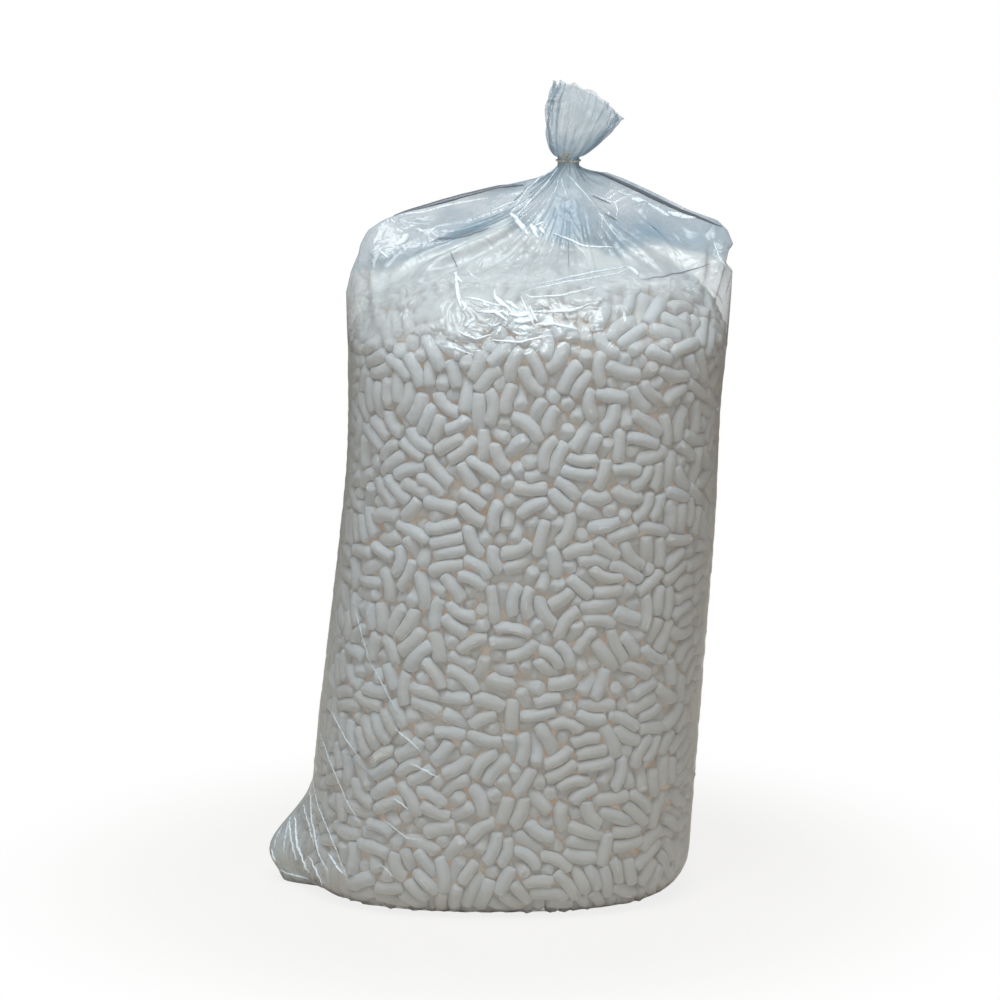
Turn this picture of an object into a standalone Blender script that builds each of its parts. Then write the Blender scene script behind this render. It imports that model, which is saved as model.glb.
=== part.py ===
"""A clear film bag of packing peanuts, tied at the neck and standing on its base.

The bag is one tube of thin film, sealed across the bottom, filled with loose peanuts and
gathered at the neck, where a wire tie closes it. Above the tie the end of the tube spreads
into a short tail. Metres, +Z up, +X to the right of the bag's front, which faces -Y.
The origin is the middle of the flat base.
"""

import math
import random

import bmesh
import bpy
from mathutils import Matrix, Vector
from mathutils.bvhtree import BVHTree

# The filled body, outside the film
BODY_WIDTH = 0.405
BODY_DEPTH = 0.320
BODY_HEIGHT = 0.590  # up to where the heap starts to round over
BASE_ROUND = 0.042  # radius of the edge round the flat base
SQUARENESS = 2.6  # 2 is an ellipse, more is a rounder-cornered box
LEAN = 0.070  # sideways for each metre up, because the bag stands a little askew
LEFT_SAG = 0.009  # how far the left side bulges low down, and draws in higher up

# The slack film above the heap, and the gathered neck
NECK_HEIGHT = 0.787
NECK_OFFSET = 0.073  # the neck lies this far to the right of the base's middle
NECK_RADIUS = 0.010
NECK_LENGTH = 0.007  # the straight stretch that the tie holds
PLEATS = 14
PLEAT_DEPTH = 0.16  # of the local radius, at the neck
MOUTH_PLEAT_DEPTH = 0.09  # of the local radius, at the open end of the tail

# The tail above the tie
TAIL_LENGTH = 0.070
TAIL_WIDTH = 0.080
TAIL_DEPTH = 0.032
TAIL_DRIFT = 0.020  # the mouth's middle lies this far to the right of the neck
TAIL_TILT = math.radians(27)  # how far the mouth slants down to the right
TAIL_BELL = 0.6  # 1 is an even flare, less spreads it nearer the neck

# The bottom corner that stands out on the left, and the top corner on the right
EAR_REACH = 0.0405
EAR_FOOT = 0.5  # of the reach, where the ear rests on the floor
EAR_HEIGHT = 0.036  # of its tip
EAR_RISE = 0.078  # from the tip up to where it dies out
EAR_SPREAD = 0.16  # half the angle that it takes, in radians
WING_REACH = 0.008
WING_DROP = 0.083  # its tip lies this far below the neck
WING_RISE = 0.016
WING_SPREAD = 0.20

# Film, peanuts and tie
FILM_WALL = 0.0006
GAP = 0.0003  # between solids that touch
PEANUT_DIAMETER = 0.015
PEANUT_LENGTH = 0.036  # along its curved middle line
PEANUT_BEND = math.radians(75)  # from one end to the other
PEANUT_SPACING = 0.005  # between one peanut's reach and the next
PEANUT_SIDES = 5
PEANUT_STEPS = 2
HEAP_CROWN = 0.014  # from the heap's last ring up to its top
SINK_ROUNDS = 4
TIE_WIRE = 0.0016  # diameter of the coated wire
TIE_LOOP_WIDTH = 0.011
TIE_LOOP_HEIGHT = 0.0055
TIE_TWIST = 0.007  # length of the twisted stretch

FILM_COLUMNS = 4 * PLEATS  # so that a pleat has a crest, two flanks and a valley
CORE_COLUMNS = 32
BASE_STEPS = 4
WALL_STEPS = 3
TAIL_STEPS = 5

# How the slack film narrows from the body to the neck: the share of the rise, then the
# shares of the body's half width and half depth that are left there
SLACK_SHAPE = (
    (0.15, 1.00, 0.965),
    (0.25, 1.00, 0.905),
    (0.33, 1.00, 0.835),
    (0.40, 0.99, 0.755),
    (0.46, 0.95, 0.675),
    (0.51, 0.93, 0.60),
    (0.59, 0.90, 0.48),
    (0.68, 0.80, 0.355),
    (0.76, 0.66, 0.265),
    (0.82, 0.50, 0.205),
    (0.87, 0.34, 0.16),
    (0.92, 0.20, 0.12),
    (0.96, 0.12, 0.085),
)
HEAP_RINGS = 4  # of the rings above, how many the heap of peanuts follows


class Ring:
    """One slice through the bag.

    It has a centre, half width, half depth, squareness, tilt and depth of pleat, and the
    reach of the ear on its left and of the wing on its right.
    """

    def __init__(self, centre, width, depth, **shape):
        self.centre = Vector(centre)
        self.width = width
        self.depth = depth
        self.squareness = shape.get("squareness", SQUARENESS)
        self.tilt = shape.get("tilt", 0.0)
        self.pleat = shape.get("pleat", 0.0)
        self.ear = shape.get("ear", 0.0)
        self.wing = shape.get("wing", 0.0)

    def point(self, angle):
        """The point of the slice at this angle: a superellipse, waved by the pleats."""
        power = 2 / self.squareness
        wave = 1 + self.pleat * math.cos(PLEATS * angle)
        across = signed_power(math.cos(angle), power) * self.width * wave
        back = signed_power(math.sin(angle), power) * self.depth * wave
        across -= corner(angle, math.pi, EAR_SPREAD) * self.ear
        across += corner(angle, 0.0, WING_SPREAD) * self.wing
        slant = Vector((math.cos(self.tilt), 0, -math.sin(self.tilt)))
        return self.centre + slant * across + Vector((0, back, 0))


def signed_power(value, power):
    return math.copysign(abs(value) ** power, value)


def smooth(share):
    """Eases from 0 to 1."""
    share = min(max(share, 0.0), 1.0)
    return share * share * (3 - 2 * share)


def corner(angle, middle, spread):
    """1 at the middle angle, dying away on both sides of it."""
    away = math.remainder(angle - middle, math.tau) / spread
    return math.exp(-away * away)


def ear_reach(height):
    """How far the bottom corner stands out at this height."""
    if height >= EAR_HEIGHT:
        return EAR_REACH * (1 - smooth((height - EAR_HEIGHT) / EAR_RISE))
    share = math.sin(math.pi / 2 * height / EAR_HEIGHT)
    return EAR_REACH * (EAR_FOOT + (1 - EAR_FOOT) * share)


def wing_reach(height):
    """How far the top corner stands out at this height."""
    away = abs(NECK_HEIGHT - WING_DROP - height)
    return WING_REACH * (1 - smooth(away / WING_RISE))


def body_ring(height, back, inset):
    """A ring of the body, drawn in all round by the base's rounding and by an inset."""
    rise = height / BODY_HEIGHT
    sag = LEFT_SAG / 2 * math.cos(math.pi * rise / 0.92) * (1 - smooth((rise - 0.75) / 0.35))
    return Ring(
        (LEAN * height - sag, 0, height),
        BODY_WIDTH / 2 + sag - back - inset,
        BODY_DEPTH / 2 - back - inset,
        ear=ear_reach(height) + back,
    )


def body_rings(inset=0.0):
    """Rings of the body: the rounded edge of the base and the upright wall."""
    rings = []
    for step in range(BASE_STEPS + 1):
        turn = math.pi / 2 * step / BASE_STEPS
        radius = BASE_ROUND - inset
        back = radius * (1 - math.sin(turn))
        rings.append(body_ring(BASE_ROUND - radius * math.cos(turn), back, inset))
    ear_top = EAR_HEIGHT + EAR_RISE
    rings.append(body_ring(0.5 * (BASE_ROUND + ear_top), 0.0, inset))
    for step in range(WALL_STEPS + 1):
        height = ear_top + (BODY_HEIGHT - ear_top) * step / WALL_STEPS
        rings.append(body_ring(height, 0.0, inset))
    return rings


def slack_rings(inset=0.0, drop=0.0):
    """Rings from the body's top to the foot of the neck, where the film is slack."""
    rings = []
    rise = NECK_HEIGHT - NECK_LENGTH / 2 - BODY_HEIGHT
    for share, width_share, depth_share in SLACK_SHAPE:
        height = BODY_HEIGHT + rise * share
        shift = smooth((share - 0.5) / 0.42)
        across = LEAN * height * (1 - shift) + NECK_OFFSET * shift
        width = NECK_RADIUS + (BODY_WIDTH / 2 - NECK_RADIUS) * width_share
        depth = NECK_RADIUS + (BODY_DEPTH / 2 - NECK_RADIUS) * depth_share
        pleat = PLEAT_DEPTH * smooth((share - 0.45) / 0.55)
        rings.append(
            Ring(
                (across, 0, height - drop),
                width - inset,
                depth - inset,
                squareness=SQUARENESS - (SQUARENESS - 2) * share,
                pleat=pleat,
                wing=wing_reach(height),
            )
        )
    return rings


def neck_rings():
    """The straight gathered stretch that the tie holds."""
    rings = []
    for side in (-1, 1):
        height = NECK_HEIGHT + side * NECK_LENGTH / 2
        centre = (NECK_OFFSET, 0, height)
        rings.append(Ring(centre, NECK_RADIUS, NECK_RADIUS, squareness=2, pleat=PLEAT_DEPTH))
    return rings


def tail_rings():
    """The tail, which widens from the neck to its slanting open mouth."""
    rings = []
    for step in range(1, TAIL_STEPS + 1):
        share = step / TAIL_STEPS
        spread = math.sin(math.pi / 2 * share) ** TAIL_BELL
        rings.append(
            Ring(
                (
                    NECK_OFFSET + TAIL_DRIFT * share,
                    0,
                    NECK_HEIGHT + NECK_LENGTH / 2 + TAIL_LENGTH * share,
                ),
                NECK_RADIUS + (TAIL_WIDTH / 2 - NECK_RADIUS) * spread,
                NECK_RADIUS + (TAIL_DEPTH / 2 - NECK_RADIUS) * spread,
                squareness=2,
                tilt=TAIL_TILT * share**2,
                pleat=PLEAT_DEPTH + (MOUTH_PLEAT_DEPTH - PLEAT_DEPTH) * share,
            )
        )
    return rings


def loft(rings, columns, closed_top):
    """A skin through the rings, closed by a flat face at its foot and, if asked, its top."""
    mesh = bmesh.new()
    loops = []
    for ring in rings:
        angles = [math.tau * column / columns for column in range(columns)]
        loops.append([mesh.verts.new(ring.point(angle)) for angle in angles])
    for lower, upper in zip(loops, loops[1:]):
        for column in range(columns):
            after = (column + 1) % columns
            face = mesh.faces.new((lower[column], lower[after], upper[after], upper[column]))
            face.smooth = True
    mesh.faces.new(reversed(loops[0]))
    if closed_top:
        mesh.faces.new(loops[-1])
    return mesh


def add_object(name, mesh, material, collection):
    """Puts a bmesh in the scene as a named object with its own material."""
    data = bpy.data.meshes.new(name)
    mesh.to_mesh(data)
    mesh.free()
    thing = bpy.data.objects.new(name, data)
    data.materials.append(material)
    collection.objects.link(thing)
    return thing


def make_material(name, colour, roughness, alpha=1.0):
    material = bpy.data.materials.new(name)
    material.use_nodes = True
    shader = material.node_tree.nodes["Principled BSDF"]
    shader.inputs["Base Color"].default_value = (*colour, 1.0)
    shader.inputs["Roughness"].default_value = roughness
    shader.inputs["Metallic"].default_value = 0.0
    shader.inputs["Alpha"].default_value = alpha
    return material


def film_skin():
    """The outer face of the film, from the base to the mouth of the tail."""
    rings = body_rings() + slack_rings() + neck_rings() + tail_rings()
    return loft(rings, FILM_COLUMNS, closed_top=False)


def make_film_bag(collection):
    """The bag: the skin with its wall on the inside, open at the mouth of the tail."""
    material = make_material("clear_film", (0.80, 0.86, 0.90), 0.15, alpha=0.35)
    bag = add_object("film_bag", film_skin(), material, collection)
    wall = bag.modifiers.new("wall", "SOLIDIFY")
    wall.thickness = FILM_WALL
    wall.offset = -1.0
    return bag


def film_lining():
    """A search tree of the surface that lies the gap inside the film."""
    skin = film_skin()
    skin.normal_update()
    for vert in skin.verts:
        vert.co -= vert.normal * (FILM_WALL + GAP)
    tree = BVHTree.FromBMesh(skin)
    skin.free()
    return tree


def core_skin():
    """The heap at the level of the outer peanuts' axes, rounded over at the top."""
    inset = FILM_WALL + GAP + PEANUT_DIAMETER / 2
    rings = body_rings(inset) + slack_rings(inset, drop=inset)[:HEAP_RINGS]
    last = rings[-1]
    for width_share, rise_share in ((0.80, 0.55), (0.45, 0.90)):
        height = last.centre.z + HEAP_CROWN * rise_share
        rings.append(
            Ring(
                (last.centre.x, 0, height),
                last.width * width_share,
                last.depth * width_share,
                squareness=last.squareness,
            )
        )
    return loft(rings, CORE_COLUMNS, closed_top=True)


def random_spots(skin, spacing, seed=7):
    """Points spread over a skin, no two nearer than the spacing, each with its normal."""
    draw = random.Random(seed)
    faces = list(skin.faces)
    areas = [face.calc_area() for face in faces]
    spots = []
    for face in draw.choices(faces, areas, k=int(14 * sum(areas) / spacing**2)):
        corners = [vert.co for vert in face.verts]
        first = draw.randrange(1, len(corners) - 1)
        a, b = draw.random(), draw.random()
        if a + b > 1:
            a, b = 1 - a, 1 - b
        place = corners[0] + (corners[first] - corners[0]) * a
        place += (corners[first + 1] - corners[0]) * b
        if all((place - other).length > spacing for other, _, _ in spots):
            spots.append((place, face.normal.copy(), draw.random()))
    return spots


def make_peanut():
    """One peanut: a disc swept round an arc, centred here, with its arc in the YZ plane."""
    mesh = bmesh.new()
    radius = PEANUT_LENGTH / PEANUT_BEND
    start = Matrix.Rotation(-PEANUT_BEND / 2, 4, "X")
    bmesh.ops.create_circle(
        mesh,
        cap_ends=True,
        segments=PEANUT_SIDES,
        radius=PEANUT_DIAMETER / 2,
        matrix=start,
    )
    middle = Vector((0, -radius, 0))
    bmesh.ops.translate(mesh, vec=start @ Vector((0, radius, 0)) + middle, verts=mesh.verts)
    bmesh.ops.spin(
        mesh,
        geom=mesh.verts[:] + mesh.edges[:] + mesh.faces[:],
        cent=middle,
        axis=(1, 0, 0),
        angle=PEANUT_BEND,
        steps=PEANUT_STEPS,
    )
    bmesh.ops.recalc_face_normals(mesh, faces=mesh.faces)
    for face in mesh.faces:
        face.smooth = len(face.verts) == 4
    return mesh


def peanut_place(place, normal, turn):
    """A frame on the skin: X points out of the heap, and the arc lies along the skin."""
    along = normal.orthogonal().normalized()
    along.rotate(Matrix.Rotation(math.tau * turn, 3, normal))
    side = along.cross(normal)
    axes = Matrix((normal, side, along)).transposed().to_4x4()
    return Matrix.Translation(place) @ axes


def sink_under(frame, normal, lining, shape):
    """Moves a frame inwards until its peanut lies wholly inside the film's lining.

    Returns None where that takes more than half a peanut's diameter.
    """
    corners = [vert.co for vert in shape.vertices]
    faces = [tuple(face.vertices) for face in shape.polygons]
    place = frame.translation.copy()
    for _ in range(SINK_ROUNDS):
        excess = 0.0
        for point in corners:
            nearest, outward, _, _ = lining.find_nearest(frame @ point)
            excess = max(excess, (frame @ point - nearest).dot(outward))
        frame.translation -= normal * excess
    while (frame.translation - place).length <= PEANUT_DIAMETER / 2:
        if not lining.overlap(BVHTree.FromPolygons([frame @ point for point in corners], faces)):
            return frame
        frame.translation -= normal * GAP
    return None


def make_peanut_fill(collection, helpers):
    """The heap: peanuts half sunk in a common core, which stands for those inside it."""
    material = make_material("white_foam", (0.90, 0.89, 0.85), 0.70)
    skin = core_skin()
    bmesh.ops.triangulate(skin, faces=skin.faces)
    skin.normal_update()
    lining = film_lining()
    peanut = make_peanut()
    shape = bpy.data.meshes.new("peanut")
    peanut.to_mesh(shape)
    peanut.free()
    peanuts = bmesh.new()
    for place, normal, turn in random_spots(skin, PEANUT_LENGTH + PEANUT_SPACING):
        frame = sink_under(peanut_place(place, normal, turn), normal, lining, shape)
        if frame is None:
            continue
        earlier = len(peanuts.verts)
        peanuts.from_mesh(shape)
        peanuts.verts.ensure_lookup_table()
        bmesh.ops.transform(peanuts, matrix=frame, verts=peanuts.verts[earlier:])
    fill = add_object("peanut_fill", skin, material, collection)
    proud = add_object("proud_peanuts", peanuts, material, helpers)
    proud.hide_render = True
    proud.display_type = "WIRE"
    joined = fill.modifiers.new("peanuts", "BOOLEAN")
    joined.operation = "UNION"
    joined.use_self = True
    joined.object = proud
    return fill


def tie_route():
    """The wire's centreline: once round the neck, a twisted stretch, and an end loop."""
    grip = NECK_RADIUS * (1 + PLEAT_DEPTH) + GAP + TIE_WIRE / 2
    strand = TIE_WIRE * 0.58  # from the twist's axis to each strand's centre
    open_angle = math.asin(min(0.9, 1.3 * strand / grip))
    ring = []
    steps = 26
    for step in range(steps + 1):
        angle = -math.pi / 2 + open_angle + (math.tau - 2 * open_angle) * step / steps
        ring.append(Vector((grip * math.cos(angle), grip * math.sin(angle), 0)))
    start = Vector((0, -grip - 2.2 * strand, 0.2 * TIE_WIRE))
    lean = Vector((-0.42, -0.55, 0.85)).normalized()
    side = lean.cross(Vector((0, -1, 0))).normalized()
    front = side.cross(lean)
    out, back = [], []
    turns = 1.0
    steps = 10
    for step in range(steps + 1):
        share = step / steps
        angle = math.tau * turns * share
        arm = (side * math.cos(angle) + front * math.sin(angle)) * strand
        middle = start + lean * TIE_TWIST * share
        out.append(middle - arm)
        back.append(middle + arm)
    loop = []
    steps = 14
    foot = start + lean * TIE_TWIST
    spread = math.asin(min(0.9, 2 * strand / TIE_LOOP_WIDTH))
    for step in range(1, steps):
        angle = -math.pi / 2 - spread - (math.tau - 2 * spread) * step / steps
        sweep = side * math.cos(angle) * TIE_LOOP_WIDTH / 2
        rise = lean * (1 + math.sin(angle)) * TIE_LOOP_HEIGHT / 2
        loop.append(foot + sweep + rise)
    middle = Vector((NECK_OFFSET, 0, NECK_HEIGHT))
    return [middle + point for point in ring + out + loop + back[::-1]]


def make_neck_tie(collection):
    """The tie: one closed loop of coated wire."""
    curve = bpy.data.curves.new("neck_tie", "CURVE")
    curve.dimensions = "3D"
    curve.bevel_depth = TIE_WIRE / 2
    curve.bevel_resolution = 2
    spline = curve.splines.new("POLY")
    route = tie_route()
    spline.points.add(len(route) - 1)
    for point, place in zip(spline.points, route):
        point.co = (*place, 1.0)
    spline.use_cyclic_u = True
    curve.materials.append(make_material("tie_wire", (0.72, 0.66, 0.56), 0.45))
    tie = bpy.data.objects.new("neck_tie", curve)
    collection.objects.link(tie)
    return tie


def main():
    for thing in list(bpy.data.objects):
        bpy.data.objects.remove(thing)
    parts = bpy.data.collections.new("packing_peanut_bag")
    helpers = bpy.data.collections.new("cutters")
    bpy.context.scene.collection.children.link(parts)
    bpy.context.scene.collection.children.link(helpers)
    make_film_bag(parts)
    make_peanut_fill(parts, helpers)
    make_neck_tie(parts)


main()
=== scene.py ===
# %% [markdown]
# # A tied bag of packing peanuts
#
# The real thing is one tube of clear polythene film, sealed across the bottom, filled with
# loose white foam peanuts and gathered at the neck under a thin wire tie. What the eye sees
# first isn't the bag: it is some thousands of small curved rods, packed at random behind a
# film that is nearly invisible where it is tight and milky blue where it is slack.
# So the lesson has three main pieces: the peanuts, packed by a small simulation, the film,
# which is laid over them and then left to fall into folds, and the finishes.

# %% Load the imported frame
import math

import bpy
import numpy as np
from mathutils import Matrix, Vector


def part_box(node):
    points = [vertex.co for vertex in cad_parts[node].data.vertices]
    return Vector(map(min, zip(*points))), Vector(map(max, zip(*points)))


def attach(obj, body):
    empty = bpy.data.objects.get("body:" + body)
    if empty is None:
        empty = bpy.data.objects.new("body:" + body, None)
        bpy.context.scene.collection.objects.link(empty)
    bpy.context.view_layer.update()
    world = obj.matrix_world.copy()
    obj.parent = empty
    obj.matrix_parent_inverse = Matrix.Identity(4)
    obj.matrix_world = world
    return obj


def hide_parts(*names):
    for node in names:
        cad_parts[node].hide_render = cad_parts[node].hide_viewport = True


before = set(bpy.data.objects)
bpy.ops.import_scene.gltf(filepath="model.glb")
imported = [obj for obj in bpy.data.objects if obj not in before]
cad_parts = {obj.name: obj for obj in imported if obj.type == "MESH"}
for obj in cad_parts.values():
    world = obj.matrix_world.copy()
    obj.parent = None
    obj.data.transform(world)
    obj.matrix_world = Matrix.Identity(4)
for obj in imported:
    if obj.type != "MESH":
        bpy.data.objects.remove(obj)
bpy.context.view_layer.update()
film_low, film_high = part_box("film_bag")
print("film box", np.round(film_low, 4), np.round(film_high, 4))

# %% [markdown]
# ## Where the camera stands
#
# The photograph looks slightly down on the bag from a few paces away: the flat base shows as
# a shallow curve, whose depth gives the camera's height of about 12 degrees. A long lens
# from further back keeps the upright edges nearly parallel, as they are in the picture.

# %% Camera
CAMERA_ELEVATION = math.radians(12)
CAMERA_DISTANCE = 5.0
CAMERA_TARGET = np.array((0.001, 0.0, 0.421))
VIEW_HEIGHT = 1.07  # metres that the frame spans at the target

camera_data = bpy.data.cameras.new("camera")
camera_data.sensor_width = 36
camera_data.sensor_fit = "HORIZONTAL"
camera_data.lens = 36 * CAMERA_DISTANCE / VIEW_HEIGHT
camera = bpy.data.objects.new("camera", camera_data)
bpy.context.scene.collection.objects.link(camera)
back_off = np.array((0.0, -math.cos(CAMERA_ELEVATION), math.sin(CAMERA_ELEVATION)))
camera.location = CAMERA_TARGET + CAMERA_DISTANCE * back_off
camera.rotation_euler = (math.pi / 2 - CAMERA_ELEVATION, 0, 0)
bpy.context.scene.camera = camera


def in_frame(points):
    """Where points show, in thousandths of the frame, and how far from the camera they are."""
    away = points - np.array(camera.location)
    upward = np.array((0.0, math.sin(CAMERA_ELEVATION), math.cos(CAMERA_ELEVATION)))
    depth = -(away @ back_off)
    scale = 1000 * CAMERA_DISTANCE / VIEW_HEIGHT / depth
    return np.stack((500 + away[:, 0] * scale, 500 - away @ upward * scale), -1), depth


print("lens", round(camera_data.lens, 1), "mm")

# %% [markdown]
# ## Meshes from arrays
#
# Every new piece is worked out as whole numpy arrays: points on a grid of two parameters.
# These helpers turn such arrays into Blender meshes. foreach_set hands an array over in one
# call, which is far quicker than a loop over vertices.

# %% Mesh helpers
def add_values(data, label, values):
    """A number for each point of a mesh, under its own name."""
    layer = data.attributes.new(label, "FLOAT", "POINT")
    layer.data.foreach_set("value", np.ascontiguousarray(values, np.float32).ravel())


def mesh_piece(name, points, corners, starts, **attributes):
    """An object from its points, the faces' corners in a row, and where each face starts."""
    data = bpy.data.meshes.new(name)
    data.vertices.add(len(points))
    data.vertices.foreach_set("co", np.ascontiguousarray(points, np.float32).ravel())
    data.loops.add(len(corners))
    data.loops.foreach_set("vertex_index", np.ascontiguousarray(corners, np.int32))
    data.polygons.add(len(starts))
    data.polygons.foreach_set("loop_start", np.ascontiguousarray(starts, np.int32))
    data.update(calc_edges=True)
    data.validate()
    data.polygons.foreach_set("use_smooth", np.ones(len(starts), bool))
    for label, values in attributes.items():
        add_values(data, label, values)
    piece = bpy.data.objects.new(name, data)
    bpy.context.scene.collection.objects.link(piece)
    return piece


def tube_faces(rows, columns):
    """Corners of the four-sided faces of a grid that is closed round its columns."""
    row, column = np.mgrid[0 : rows - 1, 0:columns]
    after = (column + 1) % columns
    lower = row * columns
    upper = lower + columns
    faces = np.stack((lower + column, lower + after, upper + after, upper + column), -1)
    return faces.reshape(-1, 4)


def capped_tube(rows, columns):
    """Corners and starts of the faces of such a grid with a flat cap at each end."""
    ring = np.arange(columns)
    caps = (ring[::-1], ring + (rows - 1) * columns)
    corners = np.concatenate((tube_faces(rows, columns).ravel(), *caps))
    sizes = np.concatenate((np.full((rows - 1) * columns, 4), (columns, columns)))
    return corners, np.cumsum(sizes) - sizes


def smooth(share):
    """Eases from 0 to 1: three times the square less twice the cube."""
    share = np.clip(share, 0.0, 1.0)
    return share * share * (3 - 2 * share)


def neighbour_mean(grid):
    """The mean of the four points round each point, or of two in the first and last rows."""
    mean = (np.roll(grid, 1, axis=1) + np.roll(grid, -1, axis=1)) / 2
    mean[1:-1] = (mean[1:-1] + (grid[2:] + grid[:-2]) / 2) / 2
    return mean


def relax(rows):
    """Draws each row but the first and last halfway to the mean of the two beside it."""
    rows[1:-1] = rows[1:-1] / 2 + (rows[2:] + rows[:-2]) / 4


# %% [markdown]
# ## The shape of the filled bag
#
# A filled bag is a fat tube: a rounded, flattened oval all the way up, with a rounded edge
# round its flat base. It leans a little, its left side sags outwards low down, and its top
# rounds over from front to back like a loaf. Each height has a centre, a half width and a
# half depth, and the outline between them is a superellipse, which lies between an ellipse
# and a box. One function of height holds all of that, so that the peanuts are packed inside
# exactly the shape that the film takes.

# %% The body's outline
BODY_WIDTH = 0.405
BODY_DEPTH = film_high.y - film_low.y
BODY_HEIGHT = 0.590
BASE_ROUND = 0.042
SQUARENESS = 2.6
LEAN = 0.070
LEFT_SAG = 0.009
RIGHT_DIP = 0.0045  # the right side is drawn in by this much below the shoulder
RIGHT_DIP_HEIGHT = 0.535
RIGHT_DIP_SPREAD = 0.085
EAR_REACH = 0.0455
EAR_FOOT = 0.5
EAR_HEIGHT = 0.036
EAR_RISE = 0.078
EAR_SPREAD = 0.16
EAR_FILL = 0.75  # the share of the ear's reach that holds peanuts
EAR_FILL_SPREAD = 1.6  # how much wider than the ear that bulge of the heap is
NECK_HEIGHT = 0.787
NECK_OFFSET = 0.073
NECK_RADIUS = 0.0101
HEAP_TOP = 0.681

SLACK_SHARES = np.array(
    (0.0, 0.15, 0.25, 0.33, 0.40, 0.46, 0.51, 0.59, 0.68, 0.76, 0.82, 0.87, 0.92, 0.96, 1.0)
)
SLACK_WIDTHS = np.array(
    (1.0, 1.0, 1.0, 1.0, 0.99, 0.95, 0.93, 0.90, 0.80, 0.66, 0.50, 0.34, 0.20, 0.12, 0.0)
)
CREASE_HEIGHTS = np.array(
    (0.590, 0.647, 0.668, 0.687, 0.697, 0.712, 0.723, 0.734, 0.745, 0.756, 0.767, 0.778, 0.7835)
)
LEFT_CREASE = np.array(
    (-0.161, -0.162, -0.157, -0.149, -0.147, -0.139, -0.123, -0.096, -0.059, -0.014, 0.034,
     0.047, 0.063)
)
RIGHT_CREASE = np.array(
    (0.242, 0.246, 0.247, 0.234, 0.248, 0.242, 0.231, 0.201, 0.179, 0.157, 0.133, 0.103, 0.083)
)
SLACK_DEPTHS = np.array(
    (1.0, 0.965, 0.905, 0.835, 0.755, 0.675, 0.60, 0.48, 0.355, 0.265, 0.205, 0.16, 0.12,
     0.085, 0.0)
)
CROWN_SHARES = np.array((0.0, 0.35, 0.60, 0.755, 0.835, 0.905, 0.965, 1.0))
CROWN_HEIGHTS = np.array((0.681, 0.680, 0.676, 0.668, 0.656, 0.640, 0.620, 0.590))
SLACK_RISE = NECK_HEIGHT - BODY_HEIGHT


def outline(height, shares, widths, depths):
    """Centre, half width, half depth and ear at each height.

    The base's edge is a quarter circle. The centre moves by the lean for each metre up,
    less half the left side's sag, which is a cosine that dies out at the shoulder.
    """
    rise = height / BODY_HEIGHT
    sag = LEFT_SAG / 2 * np.cos(np.pi * rise / 0.92) * (1 - smooth((rise - 0.75) / 0.35))
    dip = RIGHT_DIP / 2 * np.exp(-(((height - RIGHT_DIP_HEIGHT) / RIGHT_DIP_SPREAD) ** 2))
    low = np.clip(BASE_ROUND - height, 0, BASE_ROUND)
    back = BASE_ROUND - np.sqrt(BASE_ROUND**2 - low**2)
    share = (height - BODY_HEIGHT) / SLACK_RISE
    width = BODY_WIDTH / 2 * np.interp(share, shares, widths) + sag - back - dip
    depth = BODY_DEPTH / 2 * np.interp(share, shares, depths) - back
    upper = 1 - smooth((height - EAR_HEIGHT) / EAR_RISE)
    lower = EAR_FOOT + (1 - EAR_FOOT) * np.sin(np.pi / 2 * np.clip(height / EAR_HEIGHT, 0, 1))
    ear = EAR_REACH * upper * lower + back
    return LEAN * height - sag - dip, width, depth, ear


def heap_distance(points):
    """How far outside the heap each point is, negative inside, and the way out.

    The heap is what three limits share: the bag's wall, a crown whose height falls off from
    the middle to the wall, and the ground. Each is a number that is 0 on its surface, and
    divided by its own slope, measured by small steps, it becomes a distance near it.
    """

    def limits(places):
        x, y, z = places.T
        whole = np.ones(2)
        centre, width, depth, ear = outline(z, np.arange(2), whole, whole)
        turn = np.arctan2(np.abs(y) / depth, -(x - centre) / width)
        bulge = np.exp(-((turn / EAR_SPREAD / EAR_FILL_SPREAD) ** 2))
        reach = width + EAR_FILL * ear * bulge
        level = (np.abs(x - centre) / reach) ** SQUARENESS + (np.abs(y) / depth) ** SQUARENESS
        level = level ** (1 / SQUARENESS)
        return np.stack((level - 1, z - np.interp(level, CROWN_SHARES, CROWN_HEIGHTS), -z))

    step = 0.001
    middle = limits(points)
    slopes = np.stack([(limits(points + shift) - middle) / step for shift in step * np.eye(3)])
    steepness = np.sqrt((slopes**2).sum(axis=0)) + 1e-9
    away = middle / steepness
    nearest = away.argmax(axis=0)
    which = (nearest, np.arange(len(points)))
    return away[which], (slopes[:, which[0], which[1]] / steepness[which]).T


print("body outline at mid height", np.round(outline(np.array([0.3]), SLACK_SHARES,
      SLACK_WIDTHS, SLACK_DEPTHS), 4).ravel())

# %% [markdown]
# ## Packing the peanuts
#
# Peanuts that are scattered by hand overlap or float. Real ones were poured: they lie at all
# angles, touch, and turn flat against the film. A rigid body simulation of thousands of
# curved rods is slow, so this one treats each peanut as a chain of five balls on an arc.
# All of them start at half size, in random places near the film, and swell to full size
# while three rules are applied over and over: balls of different peanuts push each other
# apart, the balls of one peanut keep their distances, and no ball leaves the bag. Each rule
# is one step on whole arrays. Only the outer layers are packed, because nobody can see
# further in than about three peanuts.

# %% Peanut sizes
PEANUT_COUNT = 2740
PEANUT_RADIUS = 0.0077
PEANUT_LENGTH = (0.029, 0.041)
PEANUT_BEND = (math.radians(6), math.radians(85))
SHELL_DEPTH = 0.040
BALLS = 5

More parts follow.
